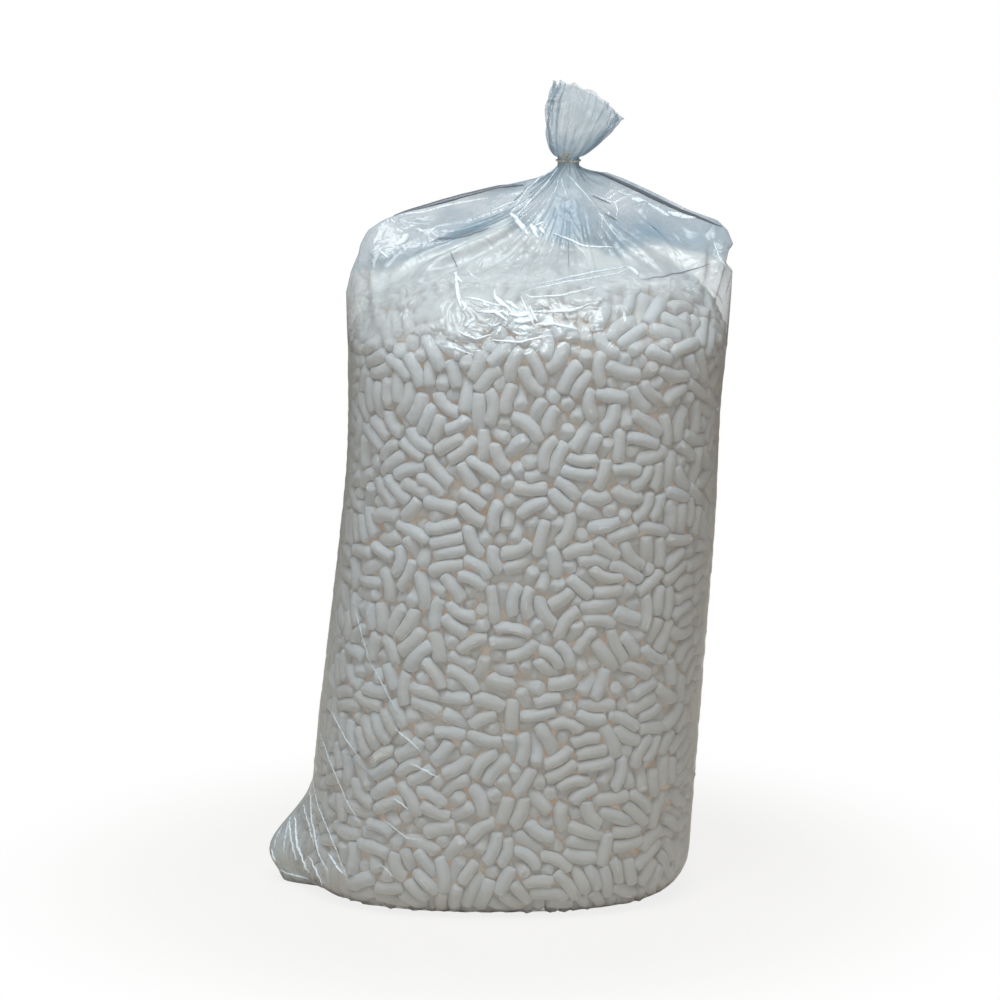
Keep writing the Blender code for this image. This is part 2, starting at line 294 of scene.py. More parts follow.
rng = np.random.default_rng(11)
radii = PEANUT_RADIUS * (1 + 0.05 * rng.standard_normal(PEANUT_COUNT).clip(-2, 2))
lengths = rng.uniform(*PEANUT_LENGTH, PEANUT_COUNT)
bends = rng.uniform(*PEANUT_BEND, PEANUT_COUNT)


def arc_line(stations):
    """Points and directions along each peanut's middle line, at these shares of its length.

    The line is an arc: its radius is the length over the bend, X runs along it and Y is the
    side that it bends to.
    """
    turn = bends[:, None] * stations
    radius = (lengths / bends)[:, None]
    line = np.stack((radius * np.sin(turn), radius * (1 - np.cos(turn)), 0 * turn), -1)
    return line, turn


ball_span = 0.5 - 0.75 * PEANUT_RADIUS / np.mean(PEANUT_LENGTH)
ball_stations = np.linspace(-ball_span, ball_span, BALLS)
ball_line, _ = arc_line(ball_stations)
ball_line -= ball_line.mean(axis=1, keepdims=True)


# %% Finding neighbours
def near_pairs(points, owners, reach):
    """Every pair of points nearer than the reach whose owners differ.

    Space is cut into cubes of the reach, the points are sorted by cube, and each point is
    set against those in its own cube and in half of the cubes round it.
    """
    cell = np.floor((points - points.min(axis=0)) / reach).astype(np.int64) + 1
    span = cell.max(axis=0) + 2
    strides = np.array((span[1] * span[2], span[2], 1))
    key = cell @ strides
    order = np.argsort(key, kind="stable")
    key = key[order]
    here = np.arange(len(key))
    steps = [
        (i, j, k)
        for i in (-1, 0, 1)
        for j in (-1, 0, 1)
        for k in (-1, 0, 1)
        if (i, j, k) >= (0, 0, 0)
    ]
    firsts, seconds = [], []
    for step in steps:
        target = key + np.array(step) @ strides
        start = np.searchsorted(key, target, "left")
        if step == (0, 0, 0):
            start = here + 1
        count = np.maximum(np.searchsorted(key, target, "right") - start, 0)
        first = np.repeat(here, count)
        skip = np.repeat(np.cumsum(count) - count, count)
        second = np.repeat(start, count) + np.arange(len(first)) - skip
        firsts.append(order[first])
        seconds.append(order[second])
    first = np.concatenate(firsts)
    second = np.concatenate(seconds)
    apart = points[first] - points[second]
    near = (owners[first] != owners[second]) & ((apart**2).sum(axis=1) < reach**2)
    return first[near], second[near]


# %% The packing itself
PACK_STEPS = 360
START_SCALE = 0.45
SEEDS_EACH = 8  # random places tried for each peanut
FLATTEN = 0.4  # how much of its tilt out of the film's plane a peanut starts without
PAIRS_EVERY = 5  # steps between two searches for neighbours
PAIR_REACH = 2.6 * PEANUT_RADIUS
GROWN_BY = 0.6  # the share of the steps after which the balls have their full size
CALM_DOWN = 0.2  # the share over which the drift outwards then dies away
DRIFT_OUT = 0.00035  # how far a step takes a ball that isn't yet near the film
NEAR_FILM = 1.02  # how many radii from the film a ball stops drifting
SHARED_PUSH = 1.6  # a ball with more pushes than this takes a smaller part of each


def random_turns(count, generator):
    """Random turns in space, each a 3 by 3 matrix, from the QR split of random numbers."""
    turns, _ = np.linalg.qr(generator.standard_normal((count, 3, 3)))
    return turns * np.linalg.det(turns)[:, None, None]


def pack_peanuts():
    """The balls of every peanut once they are packed, as an array of peanut, ball, axis."""
    low = np.array((film_low.x, film_low.y, 0.0))
    high = np.array((film_high.x, film_high.y, HEAP_TOP))
    seeds = rng.uniform(low, high, (PEANUT_COUNT * SEEDS_EACH, 3))
    away, _ = heap_distance(seeds)
    inside = (away < -PEANUT_RADIUS) & (away > -SHELL_DEPTH + PEANUT_RADIUS)
    seeds = seeds[inside][:PEANUT_COUNT]
    print("starting places", len(seeds), "of", PEANUT_COUNT)
    _, outward = heap_distance(seeds)
    turns = random_turns(PEANUT_COUNT, rng)
    shape = np.einsum("nij,nkj->nki", turns, ball_line)
    radial = np.einsum("nki,ni->nk", shape, outward)
    shape -= FLATTEN * radial[:, :, None] * outward[:, None, :]
    balls = seeds[:, None, :] + shape * START_SCALE
    owners = np.repeat(np.arange(PEANUT_COUNT), BALLS)
    size = np.repeat(radii, BALLS)
    links = [(a, b) for a in range(BALLS) for b in range(a + 1, BALLS)]
    gaps = {
        (a, b): np.linalg.norm(ball_line[:, a] - ball_line[:, b], axis=1) for a, b in links
    }
    for step in range(PACK_STEPS):
        scale = START_SCALE + (1 - START_SCALE) * smooth(step / (GROWN_BY * PACK_STEPS))
        flat = balls.reshape(-1, 3)
        if step % PAIRS_EVERY == 0:
            first, second = near_pairs(flat, owners, PAIR_REACH)
        apart = flat[first] - flat[second]
        distance = np.sqrt((apart**2).sum(axis=1)) + 1e-9
        push = np.maximum(scale * (size[first] + size[second]) - distance, 0.0)
        apart *= (0.5 * push / distance)[:, None]
        touching = push > 0
        share = np.bincount(first[touching], minlength=len(flat)).astype(float)
        share += np.bincount(second[touching], minlength=len(flat))
        share = SHARED_PUSH / np.maximum(share, SHARED_PUSH)
        move = np.stack(
            [
                np.bincount(first, apart[:, axis], len(flat))
                - np.bincount(second, apart[:, axis], len(flat))
                for axis in range(3)
            ],
            -1,
        )
        flat = flat + move * share[:, None]
        away, outward = heap_distance(flat)
        drift = DRIFT_OUT * (1 - smooth((step / PACK_STEPS - GROWN_BY) / CALM_DOWN))
        flat += outward * (drift * (away < -NEAR_FILM * size * scale))[:, None]
        over = np.maximum(away + size * scale, 0.0)
        under = np.maximum(-SHELL_DEPTH - away, 0.0)
        flat += outward * (under - over)[:, None]
        balls = flat.reshape(PEANUT_COUNT, BALLS, 3)
        for _ in range(2):
            for a, b in links:
                line = balls[:, b] - balls[:, a]
                now = np.linalg.norm(line, axis=1) + 1e-9
                mend = line * (0.5 * (now - scale * gaps[a, b]) / now)[:, None]
                balls[:, a] += mend
                balls[:, b] -= mend
    overlap = push[touching] / PEANUT_RADIUS
    print("overlaps", touching.sum(), "mean share of a radius", round(float(overlap.mean()), 3))
    return balls


balls = pack_peanuts()

# %% [markdown]
# ## A peanut's form
#
# Extruded loose fill is a soft curved rod, cut off square, with its edges a little rounded.
# Each peanut is eight rings of eight points along its arc, the last two at each end smaller,
# under a flat cap: about sixty faces, because there are thousands of them. The rings are
# slightly oval and their size wanders along the rod, so that no two peanuts are alike.

# %% Peanut meshes
RING_STATIONS = np.array((-0.5, -0.475, -0.40, -0.14, 0.14, 0.40, 0.475, 0.5))
RING_SIZES = np.array((0.52, 0.82, 0.99, 1.0, 1.0, 0.99, 0.82, 0.52))
SIDES = 8
FLOOR_GAP = 0.0012  # the lowest peanuts are pressed flat this far above the ground


def peanut_points():
    """Every peanut's rings of points, as an array of peanut, ring, side, axis.

    A ring lies square to the arc: its point is the middle line's point, plus the radius
    times the cosine of its angle towards the bend, plus the sine of it across.
    """
    line, turn = arc_line(RING_STATIONS)
    middle, _ = arc_line(ball_stations)
    line = line - middle.mean(axis=1, keepdims=True)
    angle = 2 * np.pi * np.arange(SIDES) / SIDES
    oval = 1 + 0.05 * rng.standard_normal((PEANUT_COUNT, 1, 1))
    lumps = 1 + 0.035 * rng.standard_normal((PEANUT_COUNT, len(RING_STATIONS), 1))
    size = radii[:, None, None] * RING_SIZES[None, :, None] * lumps
    across = size / oval * np.sin(angle)
    inward = size * oval * np.cos(angle)
    bent = np.stack(
        (
            -np.sin(turn)[:, :, None] * inward,
            np.cos(turn)[:, :, None] * inward,
            across,
        ),
        -1,
    )
    rings = line[:, :, None, :] + bent
    chord = balls[:, -1] - balls[:, 0]
    along = chord / np.linalg.norm(chord, axis=1, keepdims=True)
    bow = (balls[:, 0] + balls[:, -1]) / 2 - balls[:, BALLS // 2]
    bow -= (bow * along).sum(axis=1, keepdims=True) * along
    bow /= np.linalg.norm(bow, axis=1, keepdims=True)
    axes = np.stack((along, bow, np.cross(along, bow)), 1)
    return np.einsum("nrsi,nij->nrsj", rings, axes) + balls.mean(axis=1)[:, None, None, :]


def peanut_faces(count):
    """Corners and starts of the faces of so many peanuts."""
    rings = len(RING_STATIONS)
    one, starts = capped_tube(rings, SIDES)
    corners = one[None, :] + (np.arange(count) * rings * SIDES)[:, None]
    starts = starts[None, :] + (np.arange(count) * len(one))[:, None]
    return corners.ravel(), starts.ravel()


# %% Peanuts, in two pieces
points = peanut_points()
points[..., 2] = np.maximum(points[..., 2], FLOOR_GAP)
peanut_depth = -heap_distance(points.reshape(-1, 3))[0].reshape(points.shape[:3])
peanut_tone = np.broadcast_to(rng.random((PEANUT_COUNT, 1, 1)), points.shape[:3])
in_front = balls[:, :, 1].mean(axis=1) < 0
peanut_pieces = []
for name, chosen in (("peanuts_front", in_front), ("peanuts_back", ~in_front)):
    corners, starts = peanut_faces(int(chosen.sum()))
    piece = mesh_piece(
        name,
        points[chosen].reshape(-1, 3),
        corners,
        starts,
        depth=peanut_depth[chosen],
        tone=peanut_tone[chosen],
    )
    peanut_pieces.append(piece)
    print(name, int(chosen.sum()), "peanuts,", len(piece.data.polygons), "faces")

# %% [markdown]
# ## The film over the tight body
#
# Where the bag is full, the film is stretched over the peanuts like the skin of a drum: it
# rests on the ones that stand proud and runs nearly straight between them. Noise would give
# dents that have nothing to do with what lies behind. Instead each point of the film is told
# how high the nearest peanuts reach under it, and is then drawn towards the mean of its
# neighbours, again and again, without ever sinking below a peanut. That is the obstacle
# problem of a taut membrane, and it settles in a little over a hundred steps.

# %% The film's grid
COLUMNS = 320
BASE_ROWS = 5
EDGE_ROWS = 9
WALL_ROWS = 118
SLACK_ROWS = 84
TAIL_ROWS = 32
NECK_HOLD = 0.0035  # half the length that the tie holds
LEFT = math.pi  # the angle of the bag's left side


def oval(angle, squareness):
    """A superellipse's two shares: the cosine and sine, each to the power 2 / squareness."""
    power = 2 / squareness
    across = np.sign(np.cos(angle)) * np.abs(np.cos(angle)) ** power
    back = np.sign(np.sin(angle)) * np.abs(np.sin(angle)) ** power
    return across, back


def even_angles(columns):
    """Angles round the outline whose points lie evenly spaced along it."""
    fine = np.linspace(0, 2 * np.pi, 8001)
    across, back = oval(fine, SQUARENESS)
    steps = np.hypot(np.diff(across * BODY_WIDTH), np.diff(back * BODY_DEPTH))
    length = np.concatenate(((0,), np.cumsum(steps)))
    return np.interp(np.arange(columns) / columns * length[-1], length, fine)


def corner(angle, middle, spread):
    """1 at the middle angle, dying away on both sides as a bell curve."""
    away = (angle - middle + np.pi) % (2 * np.pi) - np.pi
    return np.exp(-((away / spread) ** 2))


def film_points(height, angle):
    """Points of the bag's outer skin at each height and angle."""
    share = np.clip((height - BODY_HEIGHT) / SLACK_RISE, 0, 1)
    centre, width, depth, ear = outline(height, SLACK_SHARES, SLACK_WIDTHS, SLACK_DEPTHS)
    left = np.interp(height, CREASE_HEIGHTS, LEFT_CREASE)
    right = np.interp(height, CREASE_HEIGHTS, RIGHT_CREASE)
    centre = np.where(share > 0, (left + right) / 2, centre)
    width = np.where(share > 0, (right - left) / 2, width)
    depth = np.maximum(depth, NECK_RADIUS)
    across, back = oval(angle, SQUARENESS - (SQUARENESS - 2) * share)
    x = centre + across * width
    x = x - corner(angle, LEFT, EAR_SPREAD) * ear * (share == 0)
    return np.stack(np.broadcast_arrays(x, back * depth, height + 0 * angle), -1)


angles = even_angles(COLUMNS)
edge_turn = np.linspace(0, np.pi / 2, EDGE_ROWS, endpoint=False)
edge_heights = BASE_ROUND * (1 - np.cos(edge_turn))
wall_heights = np.linspace(BASE_ROUND, BODY_HEIGHT, WALL_ROWS)
body_heights = np.concatenate((edge_heights, wall_heights))
body_film = film_points(body_heights[:, None], angles[None, :])
print("body film", body_film.shape)


# %% Stretch it over the peanuts
MEMBRANE_STEPS = 140
FILM_CLEARANCE = 0.0004
MEMBRANE_SINK = 0.006
MEMBRANE_RISE = 0.0015  # a peanut holds the film out by no more than this
MEMBRANE_START = -0.001
MEMBRANE_PULL = 0.00004  # how far a step draws free film inwards
MEMBRANE_FADE = 0.035  # below the slack film the sinking fades out over this height
FOOT_FADE = 0.012
BALL_REACH = 2.2 * PEANUT_RADIUS  # balls further in than this can't touch the film
PEANUT_SWELL = 1.07  # the blunt ends of a peanut reach this much further than its balls
LIFT_LIMIT = 0.0045
LIFT_ROUNDS = 24
LIFT_SLOPE = 0.97  # what a step away from a lifted point keeps of its lift


def grid_normals(grid):
    """Outward normals of a grid that is closed round its columns."""
    around = np.roll(grid, -1, axis=1) - np.roll(grid, 1, axis=1)
    up = np.gradient(grid, axis=0)
    normal = np.cross(around, up)
    return normal / (np.linalg.norm(normal, axis=2, keepdims=True) + 1e-12)


def reach_under(grid, normals):
    """How far out the peanuts reach along the normal of each point of the film.

    A ball reaches as far as its centre does, plus the root of its radius squared less the
    square of its distance from the normal's line. The furthest ball counts.
    """
    centres = balls.reshape(-1, 3)
    size = PEANUT_SWELL * np.repeat(radii, BALLS)
    outer = heap_distance(centres)[0] > -BALL_REACH
    centres, size = centres[outer], size[outer]
    places = grid.reshape(-1, 3)
    both = np.concatenate((places, centres))
    owners = np.concatenate((np.zeros(len(places)), np.arange(len(centres)) + 1))
    first, second = near_pairs(both, owners, BALL_REACH)
    film_first = (first < len(places)) & (second >= len(places))
    film_second = (second < len(places)) & (first >= len(places))
    film = np.concatenate((first[film_first], second[film_second]))
    ball = np.concatenate((second[film_first], first[film_second])) - len(places)
    toward = centres[ball] - places[film]
    along = (toward * normals.reshape(-1, 3)[film]).sum(axis=1)
    aside = (toward**2).sum(axis=1) - along**2
    under = aside < size[ball] ** 2
    reach = np.full(len(places), -1.0)
    high = along[under] + np.sqrt(size[ball][under] ** 2 - aside[under])
    np.maximum.at(reach, film[under], high)
    return reach.reshape(grid.shape[:2])


def stretch_over(grid):
    """How far each point of the grid moves along its normal, and the normals."""
    normals = grid_normals(grid)
    reach = reach_under(grid, normals) + FILM_CLEARANCE
    floor = np.clip(reach, -MEMBRANE_SINK, MEMBRANE_RISE)
    sunk = np.maximum(floor, MEMBRANE_START)
    for _ in range(MEMBRANE_STEPS):
        sunk = np.maximum(neighbour_mean(sunk) - MEMBRANE_PULL, floor)
    return sunk, normals


def lift_clear(grid):
    """The grid raised over every peanut that still reaches through it, like a tent.

    Each point first rises as far as the peanut under it asks. Then each takes the mean of
    its neighbours, a little lessened, wherever that is higher, so the rise dies out gently.
    """
    normals = grid_normals(grid)
    need = np.clip(reach_under(grid, normals) + FILM_CLEARANCE, 0, LIFT_LIMIT)
    lift = need
    for _ in range(LIFT_ROUNDS):
        lift = np.maximum(LIFT_SLOPE * neighbour_mean(lift), need)
    return grid + lift[:, :, None] * normals


body_sunk, body_normals = stretch_over(body_film)
fade = smooth((BODY_HEIGHT - body_heights) / MEMBRANE_FADE) * smooth(body_heights / FOOT_FADE)
body_sunk = body_sunk * fade[:, None]
body_film = body_film + body_sunk[:, :, None] * body_normals
print("film sinks by up to", round(float(-body_sunk.min()) * 1000, 2), "mm")

# %% [markdown]
# ## The slack film above the heap
#
# Above the peanuts the same tube has nothing to hold it out, and its whole width has to go
# through a neck two centimetres across. It hangs from the tie in folds, and lies on the
# front of the heap. Folds like these can be drawn by hand, but they then lack the one thing
# that makes film look like film: its length never changes. So the slack film is a sheet of
# points with fixed distances, held at the shoulder and at the neck, and it falls under its
# own weight onto the heap. It hardly resists bending, and buckles where it is too long.

# %% Start of the slack film
SLACK_EXCESS = 1.002  # the film's length over the taut way to the neck
SLACK_SHARED = 0.06  # how far the shorter ways have the length of the longest one
NECK_PLEATS = 17
NECK_PLEAT_DEPTH = 0.14


def column_paths(columns_of_points, rows):
    """Each column's points respaced evenly along its own length, and those lengths."""
    steps = np.linalg.norm(np.diff(columns_of_points, axis=0), axis=2)
    length = np.concatenate((np.zeros((1, steps.shape[1])), np.cumsum(steps, axis=0)))
    respaced = np.empty((rows, columns_of_points.shape[1], 3))
    for column in range(columns_of_points.shape[1]):
        even = np.linspace(0, length[-1, column], rows)
        for axis in range(3):
            line = columns_of_points[:, column, axis]
            respaced[:, column, axis] = np.interp(even, length[:, column], line)
    return respaced, length[-1]


def waves(angle, height, generator, count, lowest, highest, rise):
    """A sum of waves that run round the tube a whole number of times and along it."""
    total = np.zeros(np.broadcast(angle, height).shape)
    for _ in range(count):
        turns = generator.integers(lowest, highest + 1)
        phase = generator.uniform(0, 2 * np.pi)
        lean = generator.normal(0, rise)
        total += np.cos(turns * angle + lean * height + phase)
    return total / math.sqrt(count / 2)


fold_rng = np.random.default_rng(5)
fine_heights = BODY_HEIGHT + SLACK_RISE * np.linspace(0, 1, 240)
fine_heights[-1] = NECK_HEIGHT - NECK_HOLD
fine_heights = np.minimum(fine_heights, NECK_HEIGHT - NECK_HOLD)
fine = film_points(fine_heights[:, None], angles[None, :])
turns = np.linspace(0, 2 * np.pi, COLUMNS, endpoint=False)
neck_wave = 1 + NECK_PLEAT_DEPTH * np.cos(NECK_PLEATS * turns)
neck_ring = np.stack(
    (
        NECK_OFFSET + NECK_RADIUS * neck_wave * np.cos(turns),
        NECK_RADIUS * neck_wave * np.sin(turns),
        np.full(COLUMNS, NECK_HEIGHT - NECK_HOLD),
    ),
    -1,
)
fine[-1] = neck_ring
slack, column_lengths = column_paths(fine, SLACK_ROWS)
print("ways to the neck", np.round((column_lengths.min(), column_lengths.max()), 3))


# %% Let it fall
held_columns = np.abs(np.sin(angles)) < 0.02  # the two side creases
HELD_UP_TO = 0.9  # the share of the way to the neck over which they are held
GATHER_FROM = 0.36  # the share of the way at which the film starts to gather
NECK_SPARE = 1.5  # the film's spacing at the neck over the ring's
KICK = 0.002  # the height of the random folds that the film starts with
SIDE_GAP = 0.0006  # the front and the back keep this far from the plane between them
HEAP_GAP = 0.0008
HEAP_EVERY = 3  # steps between two lifts off the heap
FALL_STEPS = 420
FALL_WEIGHT = 0.000006
DRAG = 0.93
CRUSH = 0.35  # how strongly the film resists being pushed together, against 1 for a pull
STIFFNESS = 0.03
SLACK_SOFTNESS = 0.5  # how far a round of softening draws the lowest folds out
SOFTEN_ROUNDS = 36
SOFTEN_UP_TO = 0.7  # the share of the way at which the softening has died out


def pull_together(a, b, rest, free_a, free_b):
    """Moves two arrays of points so that their distances come back to rest."""
    line = b - a
    now = np.sqrt((line**2).sum(axis=-1, keepdims=True)) + 1e-9
    strength = np.where(now > rest, 1.0, CRUSH) / np.maximum(free_a + free_b, 1e-9)
    mend = line * ((now - rest) / now * strength)
    return a + mend * free_a, b - mend * free_b


def pull_rows(grid, rest, free, start):
    """Mends the distances between each second row and the next, from this row on."""
    last = start + (len(grid) - start) // 2 * 2
    a, b = slice(start, last, 2), slice(start + 1, last, 2)
    grid[a], grid[b] = pull_together(grid[a], grid[b], rest[a], free[a], free[b])


def pull_columns(grid, rest, free, start):
    """Mends the distances between each second column and the next."""
    moved, loose = np.roll(grid, -start, axis=1), np.roll(free, -start, axis=1)
    a, b = moved[:, 0::2], moved[:, 1::2]
    a, b = pull_together(a, b, rest, loose[:, 0::2], loose[:, 1::2])
    moved[:, 0::2], moved[:, 1::2] = a, b
    grid[:] = np.roll(moved, start, axis=1)


def pull_slants(grid, rest, free, start, side):
    """Mends the distances across the grid's squares, on one slant."""
    last = start + (len(grid) - start) // 2 * 2
    a, b = slice(start, last, 2), slice(start + 1, last, 2)
    beside, loose = np.roll(grid[b], -side, axis=1), np.roll(free[b], -side, axis=1)
    grid[a], beside = pull_together(grid[a], beside, rest[a], free[a], loose)
    grid[b] = np.roll(beside, side, axis=1)


def fall(grid):
    """The slack film once it has settled."""
    rows = len(grid)
    share = np.linspace(0, 1, rows)[:, None, None]
    body_gap = np.linalg.norm(np.roll(grid[0], -1, axis=0) - grid[0], axis=1).mean()
    neck_gap = np.linalg.norm(np.roll(grid[-1], -1, axis=0) - grid[-1], axis=1).mean()
    gather = smooth((share - GATHER_FROM) / (1 - GATHER_FROM))
    across = body_gap * (1 - gather) + NECK_SPARE * neck_gap * gather
    longest = column_lengths.max()
    lengths = column_lengths + SLACK_SHARED * (longest - column_lengths)
    along = (lengths * SLACK_EXCESS / (rows - 1))[None, :, None] * np.ones((rows, 1, 1))
    slant = np.sqrt(across**2 + along**2)
    free = np.ones((rows, COLUMNS, 1))
    free[:2] = 0
    free[-1] = 0
    free[: int(HELD_UP_TO * rows), held_columns] = 0
    front = (np.sin(angles) < 0)[None, :]
    kick = waves(angles[None, :], 30 * share[:, :, 0], fold_rng, 24, 5, 26, 1.0)
    grid = grid + KICK * free * np.sin(np.pi * share) * kick[:, :, None] * grid_normals(grid)
    before = grid.copy()
    for step in range(FALL_STEPS):
        moved = grid + (grid - before) * DRAG
        moved[:, :, 2] -= FALL_WEIGHT * free[:, :, 0]
        before = grid
        grid = np.where(free > 0, moved, grid)
        for _ in range(2):
            pull_rows(grid, along, free, 0)
            pull_rows(grid, along, free, 1)
            pull_columns(grid, across, free, 0)
            pull_columns(grid, across, free, 1)
        for side in (1, -1):
            pull_slants(grid, slant, free, 0, side)
            pull_slants(grid, slant, free, 1, side)
        grid = grid + STIFFNESS * free * (neighbour_mean(grid) - grid)
        y = grid[:, :, 1]
        y = np.where(front, np.minimum(y, -SIDE_GAP), np.maximum(y, SIDE_GAP))
        grid[:, :, 1] = np.where(free[:, :, 0] > 0, y, grid[:, :, 1])
        if step % HEAP_EVERY == HEAP_EVERY - 1:
            away, outward = heap_distance(grid.reshape(-1, 3))
            lift = np.maximum(HEAP_GAP - away, 0.0)[:, None] * outward
            grid = grid + lift.reshape(grid.shape) * free
    return grid


slack = fall(slack)
soften = SLACK_SOFTNESS * (1 - smooth(np.linspace(0, 1, SLACK_ROWS) / SOFTEN_UP_TO))
soften = soften[:, None, None] * ~held_columns[None, :, None]
for _ in range(SOFTEN_ROUNDS):
    slack = slack + soften * (neighbour_mean(slack) - slack)
slack[0] = body_film[-1]
slack_lift = heap_distance(slack.reshape(-1, 3))[0].reshape(slack.shape[:2])
print("slack film spans", np.round(slack.reshape(-1, 3).min(axis=0), 3),
      np.round(slack.reshape(-1, 3).max(axis=0), 3))

# %% [markdown]
# ## The tail above the tie
#
# The end of the tube comes out of the tie as a small bell of many thin pleats, one on
# another, which is why it looks whiter than the rest. Its mouth slants down to the right and
# is crumpled. The pleats are waves round the bell, deepest at the neck, and the crumples are
# slower waves that grow towards the mouth.

# %% Tail
TAIL_LENGTH = 0.062
TAIL_WIDTH = 0.075
TAIL_DEPTH = 0.034
TAIL_DRIFT = 0.020
TAIL_TILT = math.radians(27)
TAIL_BELL = 0.6
PLEAT_LOSS = 0.75  # the share of the neck's pleats that the opening bell irons out
FINE_PLEATS = 0.055  # and of the finer ones that it gains, as a share of its size
MOUTH_CRUMPLE = 0.06
MOUTH_WOBBLE = 0.0013
MOUTH_DOME = 0.0075  # how far the middle of the mouth stands above its two ends


def tail_points():
    """The bell: its centre drifts and tilts while its half width and depth open out."""
    share = np.linspace(0, 1, TAIL_ROWS)[:, None]
    angle = turns[None, :]
    open_out = np.sin(np.pi / 2 * share) ** TAIL_BELL
    width = NECK_RADIUS + (TAIL_WIDTH / 2 - NECK_RADIUS) * open_out
    depth = NECK_RADIUS + (TAIL_DEPTH / 2 - NECK_RADIUS) * open_out
    pleat = NECK_PLEAT_DEPTH * (1 - PLEAT_LOSS * open_out) * np.cos(NECK_PLEATS * angle)
    fine_wave = waves(angle, 4 * share, fold_rng, 18, 9, 34, 1.2)
    pleat = pleat + FINE_PLEATS * open_out * fine_wave
    crumple = MOUTH_CRUMPLE * share * waves(angle, 9 * share, fold_rng, 14, 2, 9, 1.6)
    size = 1 + pleat + crumple
    tilt = TAIL_TILT * share**2
    rim = MOUTH_WOBBLE * share**4 * waves(angle, 0 * share, fold_rng, 10, 2, 12, 0)
    across = size * width * np.cos(angle)
    rise = TAIL_LENGTH * share + rim + MOUTH_DOME * share**2 * np.sin(angle) ** 2
    return np.stack(
        (
            NECK_OFFSET + TAIL_DRIFT * share + np.cos(tilt) * across,
            size * depth * np.sin(angle) + 0 * share,
            NECK_HEIGHT + NECK_HOLD + rise - np.sin(tilt) * across,
        ),
        -1,
    )


tail = tail_points()
print("tail top", round(float(tail[:, :, 2].max()), 4))


# %% Join the film into one piece
JOIN_ROWS = 7
JOIN_ROUNDS = 14
INNERMOST = 0.12  # the size of the base's smallest ring, as a share of its outline


def base_rows(edge):
    """Rings that close the flat base: the outline drawn in towards its middle."""
    middle = edge.mean(axis=0)
    shares = np.linspace(INNERMOST, 1, BASE_ROWS, endpoint=False)[:, None, None]
    return middle + (edge[None, :, :] - middle) * shares


film_grid = np.concatenate((base_rows(body_film[0]), body_film, slack[1:], tail))
join = BASE_ROWS + len(body_film) - 1
for _ in range(JOIN_ROUNDS):
    relax(film_grid[join - JOIN_ROWS : join + JOIN_ROWS])
lifted = slice(BASE_ROWS + EDGE_ROWS, join + len(slack))
film_grid[lifted] = lift_clear(film_grid[lifted])
film_grid[:, :, 2] = np.maximum(film_grid[:, :, 2], FILM_CLEARANCE)
film_rows = len(film_grid)
film_faces = tube_faces(film_rows, COLUMNS)
cap = np.arange(COLUMNS)[::-1]
corners = np.concatenate((film_faces.ravel(), cap))
starts = np.arange(len(film_faces) + 1) * 4  # the last face is the cap
film = mesh_piece("film_skin", film_grid.reshape(-1, 3), corners, starts)
print("film rows", film_rows, "faces", len(film.data.polygons))

# %% [markdown]
# ## What the film's finish needs to know
#
# Polythene is clear where it is tight. It turns milky where it is creased or bunched up,
# because each small fold scatters light. So the mesh carries four numbers for each point:
# how milky the film is, how far it takes a painted cool grey-blue, which stands for the dim
# surroundings mirrored in film with nothing behind it, how tightly it is bunched into fine
# pleats, and how crumpled it is. A map of the film laid flat, in metres, tells the finish
# which way the folds run.

# %% Milkiness and flat map
BODY_MILK, BODY_BUNCH, BODY_CRUMPLE = 0.145, 0.1, 0.12
SIDE_MILK = 0.13  # more on the side where the film hangs off the peanuts
SIDE_SPREAD = 0.5  # how far round the bag that reaches, in radians
EAR_MILK, EAR_SKY, EAR_BUNCH = 0.60, 0.15, 0.9
EAR_MARK_SPREAD = 0.17
EAR_MARK_TOP, EAR_MARK_FADE = 0.045, 0.075  # full up to here, and gone this far above
HEAP_MILK = (0.18, 0.70)  # at the foot of the slack film and on the heap's top
CLEAR_PLACES = (-0.20, -0.03, 0.035, 0.24)
CLEAR_LEVELS = (0.590, 0.600, 0.636, 0.640)  # how far up the film is still clear there
HORIZON_PLACES = (-0.15, -0.11, -0.06, -0.02, 0.005, 0.045, 0.07, 0.24)
HORIZON_LEVELS = (0.655, 0.662, 0.676, 0.690, 0.704, 0.688, 0.678, 0.676)
CRUMPLES = (
    ((-0.004, 0.625), (0.055, 0.036), 0.55),
    ((-0.110, 0.650), (0.060, 0.025), 0.20),
    ((0.200, 0.640), (0.040, 0.040), 0.08),
    ((0.020, 0.705), (0.040, 0.020), 0.30),
    ((-0.150, 0.150), (0.060, 0.090), 0.25),
)  # where the film is most crumpled: place, reach across and up, and how much
CLEAR_FADE = 0.055
HORIZON_RIPPLE, HORIZON_FADE = 0.004, 0.018
DEPTH_DROP = 0.2  # how much lower a point shows for each metre off the middle
ON_HEAP, HEAP_FADE = 0.004, 0.022  # film this near lies on the heap, and the fade beyond
GABLE_MILK = 0.30
# Painted shade: spots of extra grey-blue haze under the neck and beside it, where the film is
# darkest.
PAINTED_SHADE_SPOTS = (
    ((0.073, 0.722), (0.024, 0.024), 0.54),
    ((0.175, 0.712), (0.060, 0.020), 0.32),
    ((-0.030, 0.712), (0.035, 0.016), 0.12),
)  # where film with nothing behind it is darkest: place, reach across and up, and how much
NECK_MILK = 0.58
NECK_MARK_FROM, NECK_MARK_FADE = 0.742, 0.040
NECK_SKY_LOSS = 0.45
SLACK_BUNCH, NECK_BUNCH = 0.06, 0.84  # what the slack film has, and the neck has more
SLACK_CRUMPLE = 0.06
TAIL_MILK, TAIL_SKY, TAIL_CRUMPLE = 0.29, 0.72, 0.35
TAIL_BUNCH, MOUTH_LOSS = 0.85, 0.45  # at the tail's foot, and how much less at its mouth
MOST_MILK = 0.92
GIRTH_ROW = 60  # the row of the body whose girth the laid-flat map takes


